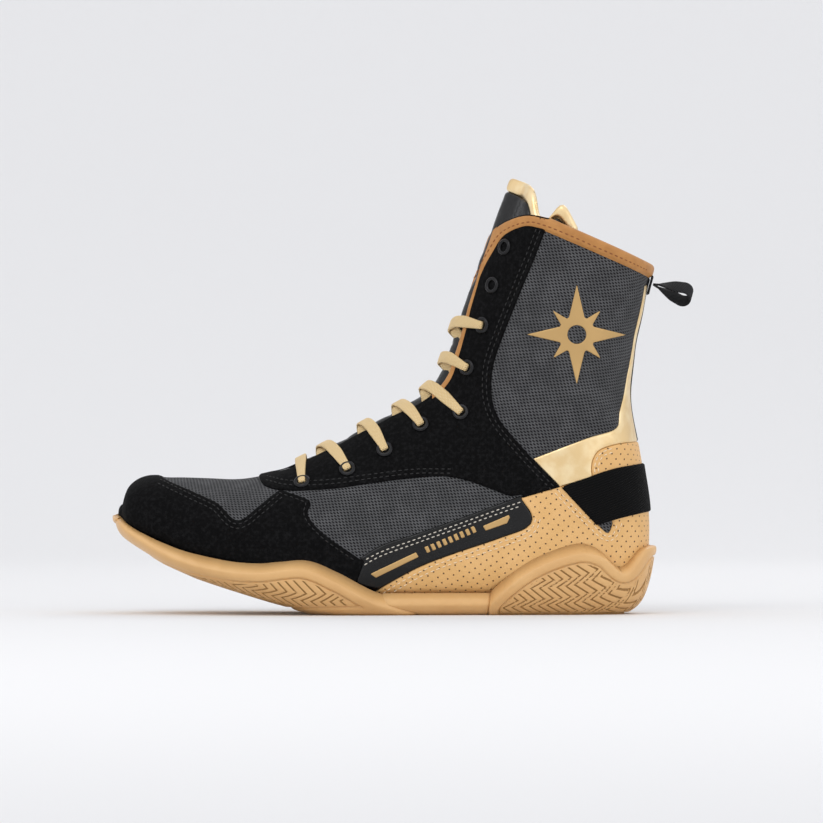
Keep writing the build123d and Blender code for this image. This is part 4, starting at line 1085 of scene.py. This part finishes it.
# ---------------------------------------------------------------- ribbons, cords and stitches
def smooth_path(points, normals, rounds=3, step=0.9):
    """Cuts a path's corners and spaces it evenly, with its normals."""
    rows = np.hstack([points, normals])
    for _ in range(rounds):
        q, r = rows[:-1] * 0.75 + rows[1:] * 0.25, rows[:-1] * 0.25 + rows[1:] * 0.75
        rows = np.vstack([rows[:1], np.stack([q, r], 1).reshape(-1, 6), rows[-1:]])
    run = lengths_along(rows[:, :3])
    even = np.linspace(0, run[-1], max(4, ceil(run[-1] / step)))
    made = np.stack([np.interp(even, run, rows[:, k]) for k in range(6)], 1)
    tangent = unit(np.gradient(made[:, :3], axis=0))
    normal = unit(made[:, 3:] - (made[:, 3:] * tangent).sum(1)[:, None] * tangent)
    return made[:, :3], normal, np.cross(tangent, normal), even


def around(sides):
    """Angles evenly round a circle."""
    return np.arange(sides) / sides * 2 * pi


def ring_faces(gaps, count, sides):
    """The quads that fill the first gaps between count rings; the last gap leads to the first ring."""
    faces = []
    for i in range(gaps):
        here, after = i * sides, (i + 1) % count * sides
        faces += [[here + j, here + (j + 1) % sides, after + (j + 1) % sides, after + j] for j in range(sides)]
    return faces


def ribbon(points, normals, widths, thickness, sides=12, square=0.35, **more):
    """Vertices, faces and cloth coordinates of a flat band along a path."""
    spots, normal, across, run = smooth_path(points, normals, **more)
    widths = np.interp(np.linspace(0, 1, len(run)), np.linspace(0, 1, len(widths)), widths)
    angle = around(sides)
    a = np.sign(np.cos(angle)) * np.abs(np.cos(angle)) ** square
    b = np.sign(np.sin(angle)) * np.abs(np.sin(angle)) ** 0.6
    rings = (spots[:, None] + across[:, None] * (widths[:, None] / 2 * a)[:, :, None]
             + normal[:, None] * (b * thickness / 2)[None, :, None])
    uv = np.stack(np.broadcast_arrays(run[:, None], a[None] * widths[:, None] / 2), 2).reshape(-1, 2)
    index = np.arange(len(spots) * sides).reshape(-1, sides)
    after = np.roll(index, -1, 1)
    quads = np.stack([index[:-1], index[1:], after[1:], after[:-1]], 2).reshape(-1, 4)
    faces = [list(q) for q in quads] + [list(index[0]), list(index[-1][::-1])]
    return rings.reshape(-1, 3), faces, uv


def joined(name, parts, material):
    """One mesh from several (points, faces, uv) parts."""
    points, faces, uvs, start = [], [], [], 0
    for spots, loops, uv in parts:
        points.append(spots)
        uvs.append(uv)
        faces += [[k + start for k in loop] for loop in loops]
        start += len(spots)
    return make_object(name, np.vstack(points), faces, np.vstack(uvs), material=material)


STITCH_GAP, STITCH_RADIUS, STITCH_SINK = 1.0, 0.33, 0.1
STITCH_SIDES = 6
# each ring's place along the stitch and its share of the radius
STITCH_RINGS = ((0.0, 0.25), (0.18, 0.8), (0.5, 1.0), (0.82, 0.8), (1.0, 0.25))


def stitch_parts(points, normals, length):
    """Rounded stitches laid along a path at an even spacing."""
    run = lengths_along(points)
    count, sides = len(STITCH_RINGS), STITCH_SIDES
    angle, faces = around(sides), ring_faces(count - 1, count, sides)
    faces += [list(range(sides - 1, -1, -1)), list(range((count - 1) * sides, count * sides))]
    parts = []
    for start in np.arange(0.3, run[-1] - length, length + STITCH_GAP):
        first, last = [np.array([np.interp(start + k * length, run, points[:, i]) for i in range(3)])
                       for k in (0, 1)]
        normal = np.array([np.interp(start + length / 2, run, normals[:, i]) for i in range(3)])
        tangent = (last - first) / np.linalg.norm(last - first)
        across = np.cross(tangent, normal)
        across /= max(np.linalg.norm(across), 1e-6)
        up = np.cross(across, tangent)
        ring = np.cos(angle)[:, None] * across + np.sin(angle)[:, None] * up
        spots = [first * (1 - k) + last * k + normal * (STITCH_RADIUS * (size - 0.55) - STITCH_SINK)
                 + size * STITCH_RADIUS * ring for k, size in STITCH_RINGS]
        parts.append((np.vstack(spots), faces, np.zeros((count * sides, 2))))
    return parts


def inset(points, distance):
    """The same open run moved to its left by distance."""
    tangent = unit(np.gradient(points, axis=0))
    return points + np.stack([-tangent[:, 1], tangent[:, 0]], 1) * distance


def clear(x, z, *shapes):
    """Which of the points lie outside all the shapes."""
    spots = np.stack([x, z], 1)
    return np.all([depth_in(spots, shape) < 0 for shape in shapes], 0)


def side_rows(run, offsets, hand, level, avoid, length):
    """Stitches on one side of the boot, at each offset from a run, leaving out what other parts cover."""
    parts = []
    for offset in offsets:
        row = inset(curve(run), offset)
        x, z = row.T
        spots, normal = side_points(x, z, hand, level)
        good = ~np.isnan(spots).any(1)
        if avoid:
            good &= clear(x, z, *avoid)
        spots = spots + normal * lump(spots)[:, None]
        for piece in np.split(np.arange(len(good)), np.where(np.diff(good.astype(int)) != 0)[0] + 1):
            if good[piece[0]] and len(piece) > 3:
                parts += stitch_parts(spots[piece], normal[piece], length)
    return parts


# ---------------------------------------------------------------- eyelets
EYELET_PROFILE = [(2.35, -3.4), (2.35, 1.6), (2.6, 2.15), (3.2, 2.5), (3.9, 2.45), (4.5, 2.0), (4.7, 1.4),
                  (4.6, 1.0), (2.9, 1.0), (2.9, -3.4)]
WASHER_PROFILE = [(2.4, -4.4), (4.3, -4.4), (4.3, -3.7), (2.4, -3.7)]


def turned(profile, origin, normal, sides=32):
    """A closed ring of revolution about a normal."""
    side = np.cross(normal, (0.0, 0.0, 1.0) if abs(normal[2]) < 0.9 else (1.0, 0.0, 0.0))
    side /= np.linalg.norm(side)
    other = np.cross(normal, side)
    angle = around(sides)
    circle = np.cos(angle)[:, None] * side + np.sin(angle)[:, None] * other
    spots = np.vstack([origin + out * normal + r * circle for r, out in profile])
    return spots, ring_faces(len(profile), len(profile), sides), np.zeros((len(spots), 2))


eyelet_frames = {}
for name, hand in SIDES.items():
    x, z = np.array(EYELETS).T
    spots, normal = side_points(x, z, hand, 0.0)
    spots = spots + normal * lump(spots)[:, None]
    eyelet_frames[hand] = (spots, normal)
    for kind, profile in (("eyelets", EYELET_PROFILE), ("eyelet_washers", WASHER_PROFILE)):
        rings = joined(f"{kind}_{name}", [turned(profile, *f) for f in zip(spots, normal)], metal.material)
        finish_piece(rings, "boot", "black_metal", f"{kind}_{name}")

# ---------------------------------------------------------------- the lace
LACE_OVER, LACE_UNDER, LACE_HOLE = 3.3, -5.6, -1.0
CROSSING = [(12.0, -5.2), (7.5, -2.6), (3.8, 0.8), (0.0, 2.2)]
LANDING = [(-11.0, 2.9)]
CROSSING_LIFT = 2.0  # how far the second strand of a crossing passes over the first
AGLET_LENGTH = 14.0
LACE_WIDTH, LACE_THICK = 6.6, 1.5
TAIL = [(56.5, 146.0), (56.0, 130.0), (52.5, 116.0), (47.5, 103.0)]
at_v = place_along(*np.array(EYELETS).T, 0.0)[0]
at_y = np.abs(eyelet_frames[SIDES["lateral"]][0][:, 1] - station(at_v)[:, 5])


def by_eyelet(level, hand, out):
    """A point on an eyelet's axis and its normal."""
    spots, normal = eyelet_frames[hand]
    return spots[level] + normal[level] * out, normal[level]


def path(pairs):
    """The points and the normals of some pairs of a point and a normal."""
    return [np.array(part) for part in zip(*pairs)]


def strand(start, hand, end, lift):
    """One strand from inside one eyelet over the tongue to the outside of the next one opposite."""
    found = [by_eyelet(start, hand, LACE_HOLE), by_eyelet(start, hand, LACE_UNDER)]
    for y, out in CROSSING + LANDING:
        share = (at_y[start] - y) / (at_y[start] + at_y[end])
        v = at_v[start] + (at_v[end] - at_v[start]) * share
        spot, normal = near_ridge(v, hand * y, out + lift * max(1 - abs(y) / 7, 0))
        found.append((spot[0], normal[0]))
    found += [by_eyelet(end, -hand, LACE_OVER), by_eyelet(end, -hand, LACE_HOLE)]
    return path(found)


pinch = [3.6, 4.2] + [LACE_WIDTH] * 6 + [5.2, 3.8]
lace_parts = []
for level in range(len(EYELETS) - 1, SPARE_EYELETS, -1):
    for hand, lift in ((-1, 0.0), (1, CROSSING_LIFT)):
        lace_parts.append(ribbon(*strand(level, hand, level - 1, lift), pinch, LACE_THICK))
lowest = len(EYELETS) - 1
bar = [by_eyelet(lowest, -1, LACE_HOLE), by_eyelet(lowest, -1, LACE_OVER - 0.4)]
for y in (-11.0, 0.0, 11.0):
    spot, normal = near_ridge(at_v[lowest], y, 2.9)
    bar.append((spot[0], normal[0]))
bar += [by_eyelet(lowest, 1, LACE_OVER - 0.4), by_eyelet(lowest, 1, LACE_HOLE)]
lace_parts.append(ribbon(*path(bar), [3.6, 5.0] + [LACE_WIDTH] * 3 + [5.0, 3.6], LACE_THICK))
for name, hand in SIDES.items():
    x, z = np.array(TAIL).T
    spots, normal = side_points(x, z, hand, -5.3)
    top, up = path([by_eyelet(SPARE_EYELETS, hand, LACE_HOLE), by_eyelet(SPARE_EYELETS, hand, -5.0)])
    spots, normal = np.vstack([top, spots]), np.vstack([up, normal])
    lace_parts.append(ribbon(spots, normal, [3.6, 4.5, LACE_WIDTH, 6, 2.4], 1.2))
    ends = np.stack([spots[-1], spots[-1] + unit(spots[-1:] - spots[-2:-1])[0] * AGLET_LENGTH])
    aglet = ribbon(ends, normal[-2:], [2.4, 2.4], 2.2, square=1.0)
    aglet = joined(f"aglet_{name}", [aglet], aglet_film.material)
    finish_piece(aglet, "boot", "aglet_film", f"aglet_{name}")
lace_piece = joined("lace", lace_parts, lace_paint.material)
finish_piece(lace_piece, "boot", "lace_gold", "lace")

# ---------------------------------------------------------------- the pull loop and its tab
LOOP_ROOT, LOOP_END, LOOP_RADIUS = np.array((143.9, 178.6)), np.array((160.2, 173.2)), 4.4
LOOP_TWIST, LOOP_TWIST_RUN = radians(36), 9.0  # the webbing turns its face to the side as it leaves the boot
reach = LOOP_END - LOOP_ROOT
lean = np.arctan2(reach[1], reach[0])
arc = [LOOP_END + LOOP_RADIUS * np.array((cos(lean + a), sin(lean + a)))
       for a in np.linspace(1.85, -1.85, 15)]
loop_line = np.vstack([LOOP_ROOT, arc, LOOP_ROOT])
loop_points = np.stack([loop_line[:, 0], 0 * loop_line[:, 0], loop_line[:, 1]], 1)
outward = unit(loop_line - (LOOP_ROOT + LOOP_END) / 2)
loop_normals = np.stack([outward[:, 0], 0 * outward[:, 0], outward[:, 1]], 1)
spots, faces, uv = ribbon(loop_points, loop_normals, [10, 10], 1.15, rounds=2, square=0.2)
axis = np.array((cos(lean), 0.0, sin(lean)))
hub = np.array((LOOP_ROOT[0], 0.0, LOOP_ROOT[1]))
rest = spots - hub
along = rest @ axis
turn = LOOP_TWIST * np.clip((along - 2.5) / LOOP_TWIST_RUN, 0, 1)[:, None]
flat = along[:, None] * axis
spots = hub + flat + (rest - flat) * np.cos(turn) + np.cross(axis, rest) * np.sin(turn)
pull_loop = joined("pull_loop", [(spots, faces, uv)], webbing.material)
finish_piece(pull_loop, "pull_loop", "black_webbing", "pull_loop")
tab_field = all_of(spine(SPINE_HALF + LAP), lambda s: 5.2 - np.abs(s.xyz[:, 2] - 178.5))
upper_piece("loop_tab", UPPER, tab_field, 2.5, 1.5, webbing, roll=0.6)

# ---------------------------------------------------------------- the insole, seen down the shaft
insole_sheet = grid(0.3, 13.2, 0.80, 1.20, 2.2, side=-3.6, bottom=-3.4, top=0.0)
insole = shell("insole", insole_sheet, np.full(len(insole_sheet.vt), -3.9), np.zeros(len(insole_sheet.vt)),
               insole_paint.material, uneven=False)
finish_piece(insole, "insole", "insole_foam", "insole")

# ---------------------------------------------------------------- stitching
COLLAR_LINE = [*COLLAR_FRONT, (120.0, 199.3), (141.0, 190.2)]
WHITE_ROW = [(-25.5, 18), (-7, 30.5), (17, 39.5), (41, 48), (59, 54.5), (73, 59.3)]
# each row's thread, run, offsets from it, level and the shapes that cover it
STITCH_ROWS = [("white", WHITE_ROW, (0.0, 2.0), 0.95, (TOE, HEEL)),
               ("tan", TAN_TOP[:-1], (-2.2, -4.6), 1.15, (TOE,)),
               ("tan", [(74.5, 63.9), (91, 68.6)], (-2.0, -4.2), 1.15, (STRAP,)),
               ("tan", STRAP_FRONT, (-2.0, -4.2), 1.15, (STRAP,)),
               ("tan", NOTCH, (-2.0, -4.2), 1.15, (STRAP, NOTCH_CUT)),
               ("tan", PATCH_EDGE[:-1], (-1.4, -3.4), 1.05, (STRAP,)),
               ("black", VAMP_EDGE[1:], (-2.2, -4.4), 1.0, (EYESTAY,)),
               ("black", QUARTER_FRONT, (-2.2,), 1.0, (EYESTAY, STRIPE)),
               ("black", EYESTAY_LOW[1:-1], (2.2, 4.4), 1.25, (ABOVE,)),
               ("black", EYESTAY_REAR, (-2.2, -4.4), 1.25, (ABOVE,)),
               ("orange", COLLAR_LINE, (-4.6,), 1.75, ())]
STITCH_LENGTHS = {"white": 2.0, "tan": 2.3, "orange": 2.3, "black": 2.3}
stitches = {name: [] for name in STITCH_LENGTHS}
for hand in SIDES.values():
    for name, run, offsets, level, cover in STITCH_ROWS:
        stitches[name] += side_rows(run, offsets, hand, level, cover, STITCH_LENGTHS[name])
for name, paint, slot in (("white", thread, "gloss_black"), ("tan", tan_thread, "tan_leather"),
                          ("orange", orange_thread, "orange_binding"),
                          ("black", black_thread, "black_suede")):
    finish_piece(joined(f"stitches_{name}", stitches[name], paint.material), "boot", slot)

# ---------------------------------------------------------------- the CAD solids inside
CARRIED = {"midsole": midsole_foam, "shank": shank_plastic, "strobel_board": board_fabric,
           "toe_puff": stiffener_plastic, "heel_counter": stiffener_plastic,
           "eyelet_backing_lateral": stiffener_plastic, "eyelet_backing_medial": stiffener_plastic,
           "ankle_foam_lateral": padding_foam, "ankle_foam_medial": padding_foam}
for obj in bpy.data.objects:
    for node, paint in CARRIED.items():
        if obj.type == "MESH" and (obj.name == node or obj.name.startswith(node + ".")):
            for place in obj.material_slots:
                place.material = paint.material

# ---------------------------------------------------------------- the studio
paper = Paint("studio_paper", (0.82, 0.82, 0.824), 0.95, **{"Specular IOR Level": 0.1})
BEND_START, BEND_RADIUS, PAPER_FRONT, PAPER_TOP, PAPER_HALF = 1500, 1500, -6000, 6000, 5000
bend = [(BEND_START + BEND_RADIUS * sin(a), BEND_RADIUS * (1 - cos(a))) for a in np.linspace(0, pi / 2, 24)]
profile = np.array([(PAPER_FRONT, 0)] + bend + [(BEND_START + BEND_RADIUS, PAPER_TOP)])
count = len(profile)
sweep = np.vstack([np.column_stack([np.full(count, x), profile]) for x in (-PAPER_HALF, PAPER_HALF)])
sweep_faces = [[i, i + count, i + count + 1, i + 1] for i in range(count - 1)]
backdrop = make_object("studio_sweep", sweep, sweep_faces, material=paper.material)
world = bpy.data.worlds.new("studio")
bpy.context.scene.world = world
world.use_nodes = True
world.node_tree.nodes["Background"].inputs[0].default_value = (0.97, 0.975, 1.0, 1)
world.node_tree.nodes["Background"].inputs[1].default_value = 1.0
bpy.context.scene.view_settings.view_transform = "Standard"


def area_light(name, spot, aim, size, power):
    """A soft box at a spot, aimed at a point."""
    lamp = new_object(name, bpy.data.lights.new(name, "AREA"))
    lamp.data.size, lamp.data.energy = size, power
    lamp.location = spot
    lamp.rotation_euler = (Vector(aim) - Vector(spot)).to_track_quat("-Z", "Y").to_euler()


area_light("key", (-0.6, -1.3, 1.5), (0, 0, 0.1), 0.9, 6)
area_light("fill", (1.3, -1.2, 0.7), (0, 0, 0.1), 1.2, 2.5)
area_light("rim", (0.6, 1.2, 1.2), (0, 0, 0.15), 0.8, 3)
